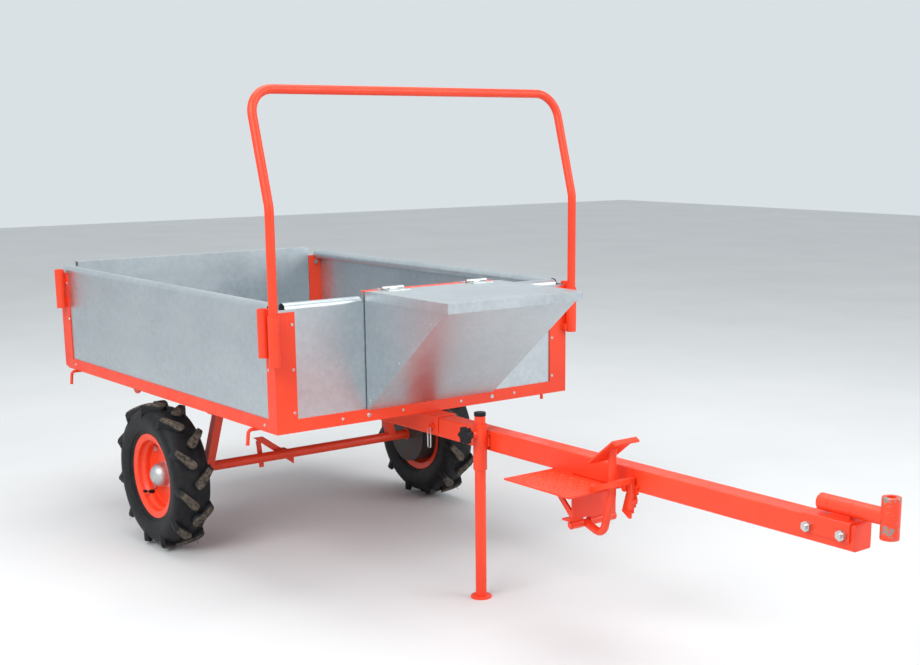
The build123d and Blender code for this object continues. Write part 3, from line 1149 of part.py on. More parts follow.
# ================================================================ tailgate
def make_tailgate():
    """Drop-down tailgate: folded and stiffened sheet between two channel stiles."""
    sheet_x = BOX_REAR + 1
    edge = GATE_HALF - 1.5
    bottom_z = RAIL_TOP + 2
    hat_x = GATE_OUTER_X + 4
    with BuildPart() as panel:
        box_between((sheet_x, -edge, bottom_z), (sheet_x + SHEET, edge, GATE_TOP))
        box_between((GATE_OUTER_X, -edge, GATE_TOP - SHEET), (sheet_x, edge, GATE_TOP))
        box_between((GATE_OUTER_X, -edge, GATE_TOP - 16), (GATE_OUTER_X + SHEET, edge, GATE_TOP))
        for y in (-STIFFENER_Y, STIFFENER_Y):
            box_between((hat_x, y - 14, bottom_z + 20), (sheet_x, y + 14, GATE_TOP - 24))
            box_between((hat_x + SHEET, y - 14 + SHEET, bottom_z + 20),
                        (sheet_x, y + 14 - SHEET, GATE_TOP - 24),
                        Mode.SUBTRACT)
    save("tailgate_panel", panel)

    with BuildPart() as stiles:
        for side in (-1, 1):
            near, far = span(side, GATE_HALF - GATE_WALL, BOX_SIDE)
            flange = span(side, GATE_HALF - 44, GATE_HALF - GATE_WALL)
            y = side * GATE_STUD_Y
            box_between((GATE_OUTER_X, near, GATE_HINGE_Z), (GATE_INNER_X, far, POST_TOP))
            rod_between((GATE_HINGE_X, near, GATE_HINGE_Z), (GATE_HINGE_X, far, GATE_HINGE_Z),
                        GATE_EYE_RADIUS)
            box_between((GATE_OUTER_X + GATE_WALL, near + GATE_WALL, GATE_HINGE_Z - GATE_EYE_RADIUS),
                        (BOX_REAR, far - GATE_WALL, POST_TOP), Mode.SUBTRACT)
            box_between((GATE_OUTER_X, near + GATE_WALL, GATE_HINGE_Z - GATE_EYE_RADIUS),
                        (BOX_REAR, far - GATE_WALL, GATE_HINGE_Z), Mode.SUBTRACT)
            box_between((sheet_x - GATE_WALL, flange[0], bottom_z), (sheet_x, flange[1], POST_TOP))
            rod_between((GATE_OUTER_X, y, GATE_STUD_Z), (GATE_OUTER_X + GATE_WALL, y, GATE_STUD_Z),
                        GATE_STUD_RADIUS + 3, Mode.SUBTRACT)
            rod_between((GATE_HINGE_X, near, GATE_HINGE_Z), (GATE_HINGE_X, far, GATE_HINGE_Z),
                        GATE_PIN_RADIUS + RUNNING_FIT, Mode.SUBTRACT)
    save("tailgate_stiles", stiles)


def make_tailgate_fixings():
    """Hinge lugs and pins on the rear rail, studs on the rear posts, and the wing nuts."""
    near = GATE_HALF - 10
    with BuildPart() as hinges:
        for side in (-1, 1):
            low_y, high_y = span(side, near, near + 5)
            box_between((GATE_HINGE_X, low_y, GATE_HINGE_Z - GATE_EYE_RADIUS),
                        (BOX_REAR, high_y, GATE_HINGE_Z + GATE_EYE_RADIUS))
            rod_between((GATE_HINGE_X, low_y, GATE_HINGE_Z), (GATE_HINGE_X, high_y, GATE_HINGE_Z),
                        GATE_EYE_RADIUS)
            rod_between((GATE_HINGE_X, side * near, GATE_HINGE_Z),
                        (GATE_HINGE_X, side * BOX_SIDE, GATE_HINGE_Z),
                        GATE_PIN_RADIUS)
    save("tailgate_hinges", hinges)

    head_x = BOX_REAR + ANGLE_WALL
    with BuildPart() as studs:
        for y in (-GATE_STUD_Y, GATE_STUD_Y):
            rod_between((head_x, y, GATE_STUD_Z), (STUD_TIP_X, y, GATE_STUD_Z), GATE_STUD_RADIUS)
            hex_between((head_x, y, GATE_STUD_Z), (head_x + 5.5, y, GATE_STUD_Z), HEAD_M8)
    save("tailgate_studs", studs)

    seat_x = GATE_OUTER_X - BODY_GAP
    tip_x = seat_x - GATE_NUT_HEIGHT
    for side, name in ((1, "left"), (-1, "right")):
        y = side * GATE_STUD_Y
        with BuildPart() as nut:
            rod_between((seat_x, y, GATE_STUD_Z), (tip_x, y, GATE_STUD_Z), GATE_NUT_RADIUS)
            box_between((tip_x, y - 2 * GATE_NUT_RADIUS, GATE_STUD_Z - 2),
                        (seat_x - 3, y + 2 * GATE_NUT_RADIUS, GATE_STUD_Z + 2))
            rod_between((seat_x, y, GATE_STUD_Z), (tip_x, y, GATE_STUD_Z), GATE_STUD_RADIUS + GATE_NUT_PLAY,
                        Mode.SUBTRACT)
        save(f"gate_nut_{name}", nut)


make_drawbar()
make_axle_frame()
make_spindles()
make_brakes()
make_tip_pivot()
make_stand_sleeve()
make_footrest()
make_pedal_bracket()
make_pedal_guide()
make_hitch()
make_swivel()
make_stand()
make_clamp()
make_pedal()
make_lock()
make_brake_lever()
for side, name in ((1, "left"), (-1, "right")):
    make_tyre(side, name)
    make_rim(side, name)
    make_hub(side, name)
    make_hub_cap(side, name)
    make_wheel_bolts(side, name)
make_rails()
make_posts()
make_bearers()
make_lock_saddle()
make_sheets()
make_sockets()
make_rope_hooks()
make_toolbox()
make_hinges()
make_lid()
make_hoop()
make_rivets()
make_tailgate()
make_tailgate_fixings()
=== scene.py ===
"""Looks of the tow behind cart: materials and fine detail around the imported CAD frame, in metres."""
import math
import random

import bpy
from mathutils import Matrix, Vector


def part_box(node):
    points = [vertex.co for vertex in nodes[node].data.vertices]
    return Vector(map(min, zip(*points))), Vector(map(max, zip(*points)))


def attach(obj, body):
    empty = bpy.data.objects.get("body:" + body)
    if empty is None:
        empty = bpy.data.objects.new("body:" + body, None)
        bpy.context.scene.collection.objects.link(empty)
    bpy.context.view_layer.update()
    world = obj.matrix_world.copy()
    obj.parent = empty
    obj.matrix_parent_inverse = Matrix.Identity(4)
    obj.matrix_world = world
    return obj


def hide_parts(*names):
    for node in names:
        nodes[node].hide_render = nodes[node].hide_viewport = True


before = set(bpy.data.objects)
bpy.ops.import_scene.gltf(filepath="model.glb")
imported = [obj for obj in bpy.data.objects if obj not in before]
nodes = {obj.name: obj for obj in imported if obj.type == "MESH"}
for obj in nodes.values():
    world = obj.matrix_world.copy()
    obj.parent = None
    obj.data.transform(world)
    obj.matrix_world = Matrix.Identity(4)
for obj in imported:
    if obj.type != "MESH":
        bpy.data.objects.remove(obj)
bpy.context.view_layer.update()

draw = random.Random(41)                 # tyre whiskers and weld ripples

# ---------------------------------------------------------------- places in the row frame
FRONT_X = -0.06235                       # front face of the load box
AXLE = Vector((FRONT_X - 0.655, 0.0, 0.204))
WHEEL_Y = 0.4455                         # middle of each wheel, either side of the cart's middle plane
DRAWBAR_HALF = 0.025                     # half the width of the square drawbar
STAND = Vector((FRONT_X + 0.256, -0.045, 0.0))    # foot of the jockey stand's sleeve
DRAWBAR_LOW, DRAWBAR_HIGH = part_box("drawbar")
FOOT_LOW, FOOT_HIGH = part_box("footplate")


# ---------------------------------------------------------------- materials
class Finish:
    """A Principled material with short ways to add and join nodes."""

    def __init__(self, name, color, metallic, roughness):
        self.material = bpy.data.materials.new(name)
        self.material.use_nodes = True
        self.tree = self.material.node_tree
        self.shader = self.tree.nodes["Principled BSDF"]
        self.shader.inputs["Base Color"].default_value = (*color, 1)
        self.shader.inputs["Metallic"].default_value = metallic
        self.shader.inputs["Roughness"].default_value = roughness
        self.place = self.node("ShaderNodeTexCoord").outputs["Object"]

    def node(self, kind, links=None, values=None, **settings):
        made = self.tree.nodes.new(kind)
        for key, value in settings.items():
            setattr(made, key, value)
        for key, value in (values or {}).items():
            made.inputs[key].default_value = value
        for key, source in (links or {}).items():
            self.tree.links.new(source, made.inputs[key])
        return made

    def noise(self, scale, detail, roughness=0.55, stretch=None):
        """Noise in object space, with as many details to the metre as its scale."""
        place = self.place
        if stretch:
            place = self.node("ShaderNodeMapping", {"Vector": place}, {"Scale": stretch}).outputs[0]
        return self.node("ShaderNodeTexNoise", {"Vector": place},
                         {"Scale": scale, "Detail": detail, "Roughness": roughness}).outputs["Fac"]

    def cells(self, scale):
        return self.node("ShaderNodeTexVoronoi", {"Vector": self.place}, {"Scale": scale})

    def span(self, source, low, high, to_low=0.0, to_high=1.0):
        """Source between low and high, stretched and clamped to another range."""
        limits = {"From Min": low, "From Max": high, "To Min": to_low, "To Max": to_high}
        return self.node("ShaderNodeMapRange", {"Value": source}, limits).outputs[0]

    def math(self, operation, first, second):
        """An operation on a socket and either a number or another socket."""
        made = self.node("ShaderNodeMath", {0: first}, operation=operation)
        if isinstance(second, float):
            made.inputs[1].default_value = second
        else:
            self.tree.links.new(second, made.inputs[1])
        return made.outputs[0]

    def mix(self, factor, low, high):
        """Colours low and high, each a colour or a socket, mixed by factor."""
        made = self.node("ShaderNodeMix", {0: factor}, data_type="RGBA")
        for slot, value in ((6, low), (7, high)):
            if isinstance(value, tuple):
                made.inputs[slot].default_value = (*value, 1)
            else:
                self.tree.links.new(value, made.inputs[slot])
        return made.outputs[2]

    def color(self, source):
        self.tree.links.new(source, self.shader.inputs["Base Color"])

    def roughness(self, source):
        self.tree.links.new(source, self.shader.inputs["Roughness"])

    def metallic(self, source):
        self.tree.links.new(source, self.shader.inputs["Metallic"])

    def relief(self, height, depth, strength, edge=0.0):
        """Bump of a depth in metres, over edges that catch light along a small radius."""
        links = {"Height": height}
        if edge:
            rounded = self.node("ShaderNodeBevel", None, {"Radius": edge}, samples=4)
            links["Normal"] = rounded.outputs[0]
        made = self.node("ShaderNodeBump", links, {"Strength": strength, "Distance": depth})
        self.tree.links.new(made.outputs[0], self.shader.inputs["Normal"])


def enamel(name, chips):
    """Red-orange stoved enamel with orange peel; chips is how much bare steel shows."""
    made = Finish(name, (0.80, 0.03, 0.012), 0.0, 0.4)
    cloud = made.span(made.noise(7.0, 4.0), 0.3, 0.7)
    speck = made.span(made.noise(160.0, 2.0), 0.62, 0.72)
    paint = made.mix(cloud, (0.90, 0.058, 0.013), (0.83, 0.044, 0.010))
    paint = made.mix(made.math("MULTIPLY", speck, 0.25), paint, (0.64, 0.028, 0.007))
    gloss = made.span(made.noise(38.0, 4.0), 0.3, 0.7, 0.34, 0.50)
    peel = made.noise(520.0, 2.0)
    if chips:
        fine = made.noise(95.0, 5.0, 0.7)
        coarse = made.math("MULTIPLY", made.noise(24.0, 2.0), 0.5)
        bare = made.span(made.math("ADD", fine, coarse), 0.86 - chips, 0.90 - chips)
        paint = made.mix(bare, paint, (0.34, 0.30, 0.27))
        made.metallic(made.math("MULTIPLY", bare, 0.8))
        peel = made.math("SUBTRACT", peel, bare)
    made.color(paint)
    made.roughness(gloss)
    made.relief(peel, 0.00012, 0.35, edge=0.0012)
    return made.material


def galvanised(name):
    """Zinc-coated sheet: faint spangle, cloudy sheen, upright smears, long shallow dents."""
    made = Finish(name, (0.6, 0.64, 0.67), 0.92, 0.4)
    crystal = made.cells(95.0)
    facet = made.node("ShaderNodeSeparateColor", {0: crystal.outputs["Color"]}).outputs[0]
    cloud = made.span(made.noise(5.0, 5.0, 0.6), 0.3, 0.7)
    smear = made.span(made.noise(3.0, 4.0, 0.6, (1.0, 1.0, 5.0)), 0.35, 0.7)
    grey = made.mix(facet, (0.50, 0.55, 0.58), (0.57, 0.62, 0.65))
    grey = made.mix(made.math("MULTIPLY", cloud, 0.5), grey, (0.64, 0.68, 0.70))
    grey = made.mix(made.math("MULTIPLY", smear, 0.25), grey, (0.42, 0.46, 0.49))
    made.color(grey)
    dull = made.math("ADD", cloud, made.math("MULTIPLY", facet, 0.35))
    made.roughness(made.span(dull, 0.0, 1.35, 0.30, 0.44))
    wave = made.math("ADD", made.noise(3.2, 1.0), made.math("MULTIPLY", facet, 0.01))
    made.relief(wave, 0.006, 0.30, edge=0.0006)
    return made.material


def plated(name, color, low, high):
    """Plated or turned metal with faint stains, from low to high roughness."""
    made = Finish(name, color, 1.0, 0.3)
    stain = made.span(made.noise(60.0, 5.0, 0.65), 0.35, 0.75)
    dark = tuple(part * 0.62 for part in color)
    made.color(made.mix(made.math("MULTIPLY", stain, 0.55), color, dark))
    made.roughness(made.span(made.noise(140.0, 3.0), 0.3, 0.7, low, high))
    made.relief(made.noise(600.0, 3.0), 0.00008, 0.5, edge=0.0005)
    return made.material


def cast(name):
    """Dark rough casting with patches of light rust."""
    made = Finish(name, (0.075, 0.072, 0.07), 0.4, 0.7)
    rust = made.span(made.noise(30.0, 6.0, 0.7), 0.45, 0.75)
    made.color(made.mix(rust, (0.06, 0.06, 0.062), (0.15, 0.085, 0.05)))
    made.roughness(made.span(rust, 0.0, 1.0, 0.5, 0.85))
    made.relief(made.noise(240.0, 5.0, 0.7), 0.0005, 0.7)
    return made.material


DUST_FROM, DUST_FULL = 0.1965, 0.2012    # distances from the axle over which a lug's dust thickens


def rubber(name, dusty):
    """Black rubber; a dusty tyre carries tan dust on its lug faces and a grey film on its walls."""
    made = Finish(name, (0.010, 0.010, 0.011), 0.0, 0.62)
    made.shader.inputs["Specular IOR Level"].default_value = 0.22
    mottle = made.span(made.noise(46.0, 5.0, 0.6), 0.3, 0.75)
    black = made.mix(mottle, (0.0045, 0.0047, 0.0056), (0.013, 0.0138, 0.0160))
    if dusty:
        flat = made.node("ShaderNodeVectorMath", {0: made.place}, {1: (1.0, 0.0, 1.0)},
                         operation="MULTIPLY")
        reach = made.node("ShaderNodeVectorMath", {0: flat.outputs[0]}, operation="LENGTH")
        worn = made.span(reach.outputs["Value"], DUST_FROM, DUST_FULL)
        patch = made.span(made.noise(85.0, 4.0, 0.7), 0.34, 0.62)
        face = made.math("MULTIPLY", worn, patch)
        haze = made.span(made.noise(17.0, 5.0, 0.65), 0.5, 0.78)
        film = made.math("MULTIPLY", haze, 0.35)
        black = made.mix(film, black, (0.045, 0.041, 0.037))
        black = made.mix(face, black, (0.150, 0.122, 0.095))
        made.roughness(made.span(face, 0.0, 1.0, 0.52, 0.9))
    else:
        made.roughness(made.span(mottle, 0.0, 1.0, 0.4, 0.55))
    made.color(black)
    pores = made.noise(260.0, 4.0, 0.65)
    waves = made.math("MULTIPLY", made.noise(55.0, 3.0), 1.2)
    made.relief(made.math("ADD", pores, waves), 0.0007 if dusty else 0.0002, 0.55)
    return made.material


RED = enamel("red_enamel", 0.0)
WORN = enamel("worn_red_enamel", 0.06)
SHEET = galvanised("galvanised")
ZINC = plated("zinc", (0.66, 0.67, 0.66), 0.24, 0.42)
CAP = plated("cap_zinc", (0.62, 0.62, 0.63), 0.42, 0.58)
STEEL = plated("turned_steel", (0.34, 0.33, 0.32), 0.3, 0.5)
BRASS = plated("valve_brass", (0.62, 0.36, 0.14), 0.3, 0.5)
IRON = cast("cast_iron")
RUBBER = rubber("dusty_rubber", True)
HAIR = rubber("soft_rubber", False)
PLASTIC = rubber("black_moulding", False)

SLOT_FINISH = {
    "red_paint": RED, "worn_red_paint": WORN, "galvanised_sheet": SHEET, "zinc_plated": ZINC,
    "machined_steel": STEEL, "cast_drum": IRON, "tyre_rubber": RUBBER, "black_plastic": PLASTIC,
}
for part in nodes.values():
    for place in part.material_slots:
        known = place.material.name if place.material else ""
        place.material = next((made for name, made in SLOT_FINISH.items()
                               if known.startswith(name)), RED)


# ---------------------------------------------------------------- mesh helpers
def circle(sides, start=0.0):
    """Evenly spaced angles of one turn."""
    return [start + math.tau * index / sides for index in range(sides)]


def build(name, points, faces, finish, body, crease=35.0):
    """A smooth-shaded mesh piece that rides on a body, with edges sharp beyond the crease angle."""
    mesh = bpy.data.meshes.new(name)
    mesh.from_pydata([tuple(p) for p in points], [], faces)
    mesh.validate()
    mesh.materials.append(finish)
    mesh.shade_smooth()
    mesh.set_sharp_from_angle(angle=math.radians(crease))
    made = bpy.data.objects.new(name, mesh)
    bpy.context.scene.collection.objects.link(made)
    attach(made, body)
    return made


class Shape:
    """Points and faces gathered from several closed solids."""

    def __init__(self):
        self.points = []
        self.faces = []

    def loops(self, rings):
        """Skin between rings of equal length, capped at both ends."""
        base, size = len(self.points), len(rings[0])
        for ring in rings:
            self.points += ring
        end = base + (len(rings) - 1) * size
        for here in range(base, end, size):
            there = here + size
            for column in range(size):
                step = (column + 1) % size
                self.faces.append((here + column, here + step, there + step, there + column))
        self.faces.append(tuple(reversed(range(base, base + size))))
        self.faces.append(tuple(range(end, end + size)))

    def tube(self, path, radius, sides=10, taper=None):
        """Round bar through points; taper gives each point's share of the radius."""
        path = [Vector(p) for p in path]
        rings = []
        for index, point in enumerate(path):
            ahead = path[min(index + 1, len(path) - 1)] - path[max(index - 1, 0)]
            spin = ahead.to_track_quat("Z", "Y").to_matrix()
            size = radius * (taper[index] if taper else 1.0)
            rings.append([point + spin @ Vector((size * math.cos(turn), size * math.sin(turn), 0.0))
                          for turn in circle(sides)])
        self.loops(rings)

    def lathe(self, centre, axis, outline, sides):
        """Closed outline of (along, radius) turned about an axis direction through the centre."""
        spin = Vector(axis).to_track_quat("Z", "Y").to_matrix()
        base, size = len(self.points), len(outline)
        for turn in circle(sides):
            self.points += [
                Vector(centre) + spin @ Vector((radius * math.cos(turn), radius * math.sin(turn), along))
                for along, radius in outline]
        for row in range(sides):
            here, there = base + row * size, base + ((row + 1) % sides) * size
            for column in range(size):
                step = (column + 1) % size
                self.faces.append((here + column, there + column, there + step, here + step))

    def dome(self, centre, axis, radius, height):
        """Round rivet or screw head standing on its centre."""
        spin = Vector(axis).to_track_quat("Z", "Y").to_matrix()
        rings = []
        for rise, share in ((0.0, 1.0), (0.35, 0.97), (0.68, 0.80), (0.9, 0.5), (1.0, 0.12)):
            wide, high = radius * share, height * rise
            rings.append([Vector(centre) + spin @ Vector((wide * math.cos(turn), wide * math.sin(turn), high))
                          for turn in circle(16)])
        self.loops(rings)


# ---------------------------------------------------------------- tyres
LUGS = 11                                # on each side of the tread
LUG_SWEEP = 0.24                         # turn from a lug's inner end to its shoulder, in radians
LUG_PHASE = 0.01                         # turn of the first lug
LUG_INNER, LUG_REACH = 0.0035, 0.046     # across the tread: a lug's inner end, and on to its shoulder
LUG_ARC = 0.19                           # radius at which a lug's slope is taken
LUG_ROOT, LUG_LEAST = 0.006, 0.004       # how far a lug is sunk in the casing, and its least height
TREAD = 0.2038                           # radius over the lugs
TYRE_HALF = 0.0526
SHOULDER = 0.0515                        # a lug's root follows the casing out to here
# Casing from the bead out over the sidewall to the middle of the tread, as (across, radius)
CASING = [
    (0.0340, 0.1120), (0.0368, 0.1180), (0.0405, 0.1215), (0.0418, 0.1240), (0.0425, 0.1262),
    (0.0452, 0.1270), (0.0478, 0.1330), (0.0502, 0.1430), (0.0520, 0.1530), (0.0524, 0.1600),
    (0.0515, 0.1680), (0.0490, 0.1752), (0.0440, 0.1812), (0.0360, 0.1852), (0.0250, 0.1878),
    (0.0120, 0.1892), (0.0, 0.1896)]
WIDEST = 9                               # place of the widest point in CASING
CASING_INSIDE = [(-0.029, 0.1140), (-0.030, 0.150), (0.0, 0.172), (0.030, 0.150), (0.029, 0.1140)]
# A lug's sections, as (share of its reach, half width, drop of its top below the tread)
LUG_PLAN = [
    (-0.10, 0.0050, 0.0), (-0.06, 0.0092, 0.0), (0.02, 0.0120, 0.0), (0.14, 0.0127, 0.0),
    (0.3, 0.0116, 0.0), (0.5, 0.0102, 0.0002), (0.7, 0.0096, 0.0010), (0.87, 0.0094, 0.0034),
    (1.0, 0.0092, 0.0085), (1.05, 0.0090, 0.0150), (1.075, 0.0084, 0.0240), (1.085, 0.0070, 0.0350)]
# Outline of each section, as shares of its half width and of its height
LUG_SECTION = [
    (-1.32, 0.0), (-1.14, 0.45), (-1.02, 0.82), (-0.84, 1.0),
    (0.84, 1.0), (1.02, 0.82), (1.14, 0.45), (1.32, 0.0)]
WHISKERS = 26
WHISKER_RADIUS = 0.00055
WHISKER_FLOOR = 0.004                    # a whisker that would come lower than this is left out


def casing_radius(across):
    """Outer radius of the casing's tread side at a distance from its middle."""
    for (wide, low), (narrow, high) in zip(CASING[WIDEST:], CASING[WIDEST + 1:]):
        if narrow <= abs(across) <= wide:
            return low + (high - low) * (wide - abs(across)) / (wide - narrow)
    return CASING[WIDEST][1]


def lug_rings(side, start):
    """Sections of one chevron lug, from its rounded inner end to its buttress on the sidewall."""
    rings = []
    slope = Vector((LUG_REACH, LUG_ARC * LUG_SWEEP)).normalized()
    for share, half, drop in LUG_PLAN:
        middle = LUG_INNER + LUG_REACH * share
        turn = start + LUG_SWEEP * share
        top = TREAD - drop
        foot = min(casing_radius(min(middle, SHOULDER)) - LUG_ROOT, top - LUG_LEAST)
        ring = []
        for across, height in LUG_SECTION:
            width = across * half
            wide = max(min(middle - slope.y * width, TYRE_HALF), -TYRE_HALF)
            angle = turn + slope.x * width / TREAD
            radius = foot + (top - foot) * height
            ring.append(Vector((radius * math.cos(angle), side * wide, radius * math.sin(angle))))
        rings.append(ring if side > 0 else ring[::-1])
    return rings


def lug_start(index, side):
    """Turn at which a lug begins; the lugs of the inner side stand half a pitch on."""
    return math.tau * (index + (0.0 if side > 0 else 0.5)) / LUGS + LUG_PHASE


def make_tyre(name, sign):
    body, middle = f"wheel_{name}", sign * WHEEL_Y
    shape = Shape()
    outline = CASING + [(-wide, radius) for wide, radius in CASING[-2::-1]] + CASING_INSIDE
    shape.lathe((0, 0, 0), (0, 1, 0), outline, 130)
    for index in range(LUGS):
        for side in (1, -1):
            shape.loops(lug_rings(side, lug_start(index, side)))
    tyre = build(f"tyre_tread_{name}", shape.points, shape.faces, RUBBER, body, 40.0)
    tyre.matrix_world = Matrix.Translation((AXLE.x, middle, AXLE.z))
    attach(tyre, body)
    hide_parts(f"tyre_{name}")

    hairs = Shape()
    for _ in range(WHISKERS):
        side = draw.choice((-1, 1))
        start = lug_start(draw.randrange(LUGS), side)
        share = draw.uniform(0.15, 0.95)
        turn = start + LUG_SWEEP * share + draw.choice((-1, 1)) * 0.03
        length = draw.uniform(0.008, 0.019)
        bend = draw.uniform(-0.05, 0.05)
        across = side * (LUG_INNER + 0.042 * share)
        path = []
        for part in (0.0, 0.35, 0.7, 1.0):
            radius = TREAD - 0.006 + length * part
            angle = turn + bend * part * part
            path.append(Vector((AXLE.x + radius * math.cos(angle),
                                middle + across + side * 0.004 * part * part,
                                AXLE.z + radius * math.sin(angle))))
        if min(point.z for point in path) > WHISKER_FLOOR:
            hairs.tube(path, WHISKER_RADIUS, 5, [1.0, 0.9, 0.8, 0.6])
    build(f"tyre_whiskers_{name}", hairs.points, hairs.faces, HAIR, body)


# ---------------------------------------------------------------- rims and hub caps
# Outlines from the wheel's middle plane outwards, as (along, radius)
RIM_FRONT = [
    (0.0345, 0.1015), (0.0345, 0.1120), (0.0352, 0.1158), (0.0372, 0.1178), (0.0374, 0.1170),
    (0.0371, 0.1140), (0.0360, 0.1100), (0.0352, 0.1030), (0.0340, 0.0995), (0.0310, 0.0984),
    (0.0250, 0.0982), (0.0215, 0.0972), (0.0180, 0.0935), (0.0150, 0.0905), (0.0110, 0.0898),
    (0.0, 0.0898), (-0.0010, 0.0880)]
RIM_DISH = [
    (-0.0020, 0.0865), (-0.0024, 0.0840), (-0.0025, 0.0800), (-0.0025, 0.0640), (-0.0018, 0.0590),
    (-0.0008, 0.0560), (-0.0008, 0.0302)]
RIM_BACK = [
    (-0.0055, 0.0302), (-0.0055, 0.0870), (-0.0062, 0.0893), (-0.0130, 0.0900), (-0.0200, 0.0960),
    (-0.0240, 0.0982), (-0.0330, 0.0986), (-0.0352, 0.1030), (-0.0360, 0.1100), (-0.0371, 0.1140),
    (-0.0374, 0.1170), (-0.0372, 0.1178), (-0.0352, 0.1158), (-0.0345, 0.1120), (-0.0345, 0.1015),
    (-0.0200, 0.1015), (-0.0120, 0.0930), (0.0140, 0.0930), (0.0220, 0.1015)]
CAP_OUTSIDE = [
    (0.0, 0.0468), (0.0004, 0.0474), (0.0012, 0.0475), (0.0016, 0.0466), (0.0013, 0.0430),
    (0.0013, 0.0370), (0.0020, 0.0348), (0.0036, 0.0336), (0.0060, 0.0331), (0.0120, 0.0329),
    (0.0180, 0.0324), (0.0240, 0.0306), (0.0300, 0.0270), (0.0348, 0.0225), (0.0384, 0.0170),
    (0.0406, 0.0108), (0.0416, 0.0050), (0.0419, 0.0006)]
CAP_BOWL = 6                             # place in CAP_OUTSIDE where the flange turns up into the bowl
CAP_WALL = 0.0012
CAP_SCREW_CIRCLE = 0.0405
VALVE_TURN = math.radians(223)
VALVE_CIRCLE = 0.0905


def make_rim(name, sign):
    body, middle = f"wheel_{name}", sign * WHEEL_Y
    shape = Shape()
    shape.lathe((AXLE.x, middle, AXLE.z), (0, sign, 0), RIM_FRONT + RIM_DISH + RIM_BACK, 128)
    rim = build(f"rim_rolled_{name}", shape.points, shape.faces, RED, body, 50.0)
    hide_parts(f"rim_{name}")

    along, rise = math.cos(VALVE_TURN), math.sin(VALVE_TURN)
    foot = Vector((AXLE.x + VALVE_CIRCLE * along, middle + sign * 0.010, AXLE.z + VALVE_CIRCLE * rise))
    lean = Vector((-0.35 * along, sign * 0.94, -0.35 * rise)).normalized()
    for piece, ends, radius, sides, taper, finish, slot in (
            ("base", (-0.004, 0.0, 0.003, 0.005, 0.013), 0.0062, 16, (1.0, 1.0, 0.95, 0.68, 0.60),
             HAIR, "tyre_rubber"),
            ("barrel", (0.0125, 0.020), 0.0034, 14, None, BRASS, "machined_steel"),
            ("cap", (0.0200, 0.0206, 0.028, 0.0288), 0.0044, 14, (0.9, 1.0, 1.0, 0.8),
             PLASTIC, "tyre_rubber")):
        valve = Shape()
        valve.tube([foot + lean * end for end in ends], radius, sides, taper)
        build(f"valve_{piece}_{name}", valve.points, valve.faces, finish, body)


def make_cap(name, sign):
    body = f"wheel_{name}"
    low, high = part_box(f"hub_cap_{name}")
    base = low.y if sign > 0 else high.y
    inside = [(max(0.0, along - CAP_WALL), max(0.0004, radius - CAP_WALL))
              for along, radius in reversed(CAP_OUTSIDE[CAP_BOWL:])]
    shape = Shape()
    shape.lathe((AXLE.x, base, AXLE.z), (0, sign, 0), CAP_OUTSIDE + inside, 96)
    cap = build(f"dust_cap_{name}", shape.points, shape.faces, CAP, body, 60.0)
    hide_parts(f"hub_cap_{name}")
    screws = Shape()
    for turn in circle(3, math.radians(70)):
        spot = (AXLE.x + CAP_SCREW_CIRCLE * math.cos(turn), base + sign * CAP_WALL,
                AXLE.z + CAP_SCREW_CIRCLE * math.sin(turn))
        screws.dome(spot, (0, sign, 0), 0.0036, 0.0022)
    build(f"cap_screws_{name}", screws.points, screws.faces, ZINC, body)


for wheel, direction in (("left", 1), ("right", -1)):
    make_tyre(wheel, direction)
    make_rim(wheel, direction)
    make_cap(wheel, direction)


# ---------------------------------------------------------------- weld beads
RIPPLE = 0.0022                          # length of one ripple of a weld
SPINDLE_SEAM = 0.0150                    # radius of the welds around a wheel spindle
OUTER_SEAM_Y, INNER_SEAM_Y = 0.3705, 0.3130


def bead(shape, path, radius):
    """Rippled fillet of weld metal along a path, thinner at its two ends."""
    path = [Vector(p) for p in path]
    dense, taper = [], []
    for here, there in zip(path, path[1:]):
        steps = max(2, int((there - here).length / RIPPLE))
        for step in range(steps):
            dense.append(here.lerp(there, step / steps))
    dense.append(path[-1])
    for index in range(len(dense)):
        ripple = 0.88 + 0.16 * (index % 2) + draw.uniform(-0.08, 0.08)
        taper.append(ripple * (0.55 if index in (0, len(dense) - 1) else 1.0))
    shape.tube(dense, radius, 8, taper)


def ring_path(y, start, end, steps):
    """Part of a turn about the axle where the spindle leaves a plate at a distance to the side."""
    spin = Vector((0, 1, 0)).to_track_quat("Z", "Y").to_matrix()
    return [Vector((AXLE.x, y, AXLE.z))
            + spin @ Vector((SPINDLE_SEAM * math.cos(turn), SPINDLE_SEAM * math.sin(turn), 0.0))
            for turn in (start + (end - start) * step / steps for step in range(steps + 1))]


chassis_welds = Shape()
# jockey stand sleeve to the drawbar's side
for offset in (-0.0125, 0.0125):
    seam_x, seam_y = STAND.x + offset, -DRAWBAR_HALF - 0.0035
    bead(chassis_welds, [(seam_x, seam_y, DRAWBAR_LOW.z + 0.004),
                         (seam_x, seam_y, DRAWBAR_HIGH.z - 0.004)], 0.0032)
# swivel sleeve to its saddle
sleeve_low, sleeve_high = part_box("swivel_sleeve")
seam_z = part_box("hitch_saddle")[1].z - 0.0085
for side in (-1, 1):
    bead(chassis_welds, [(sleeve_low.x + 0.004, side * 0.0105, seam_z),
                         (sleeve_high.x - 0.004, side * 0.0105, seam_z)], 0.0036)
# footplate to the drawbar
seam_z = FOOT_HIGH.z + 0.0005
for side in (-1, 1):
    bead(chassis_welds, [(FOOT_LOW.x + 0.01, side * DRAWBAR_HALF, seam_z),
                         (FOOT_LOW.x + 0.07, side * DRAWBAR_HALF, seam_z)], 0.0022)
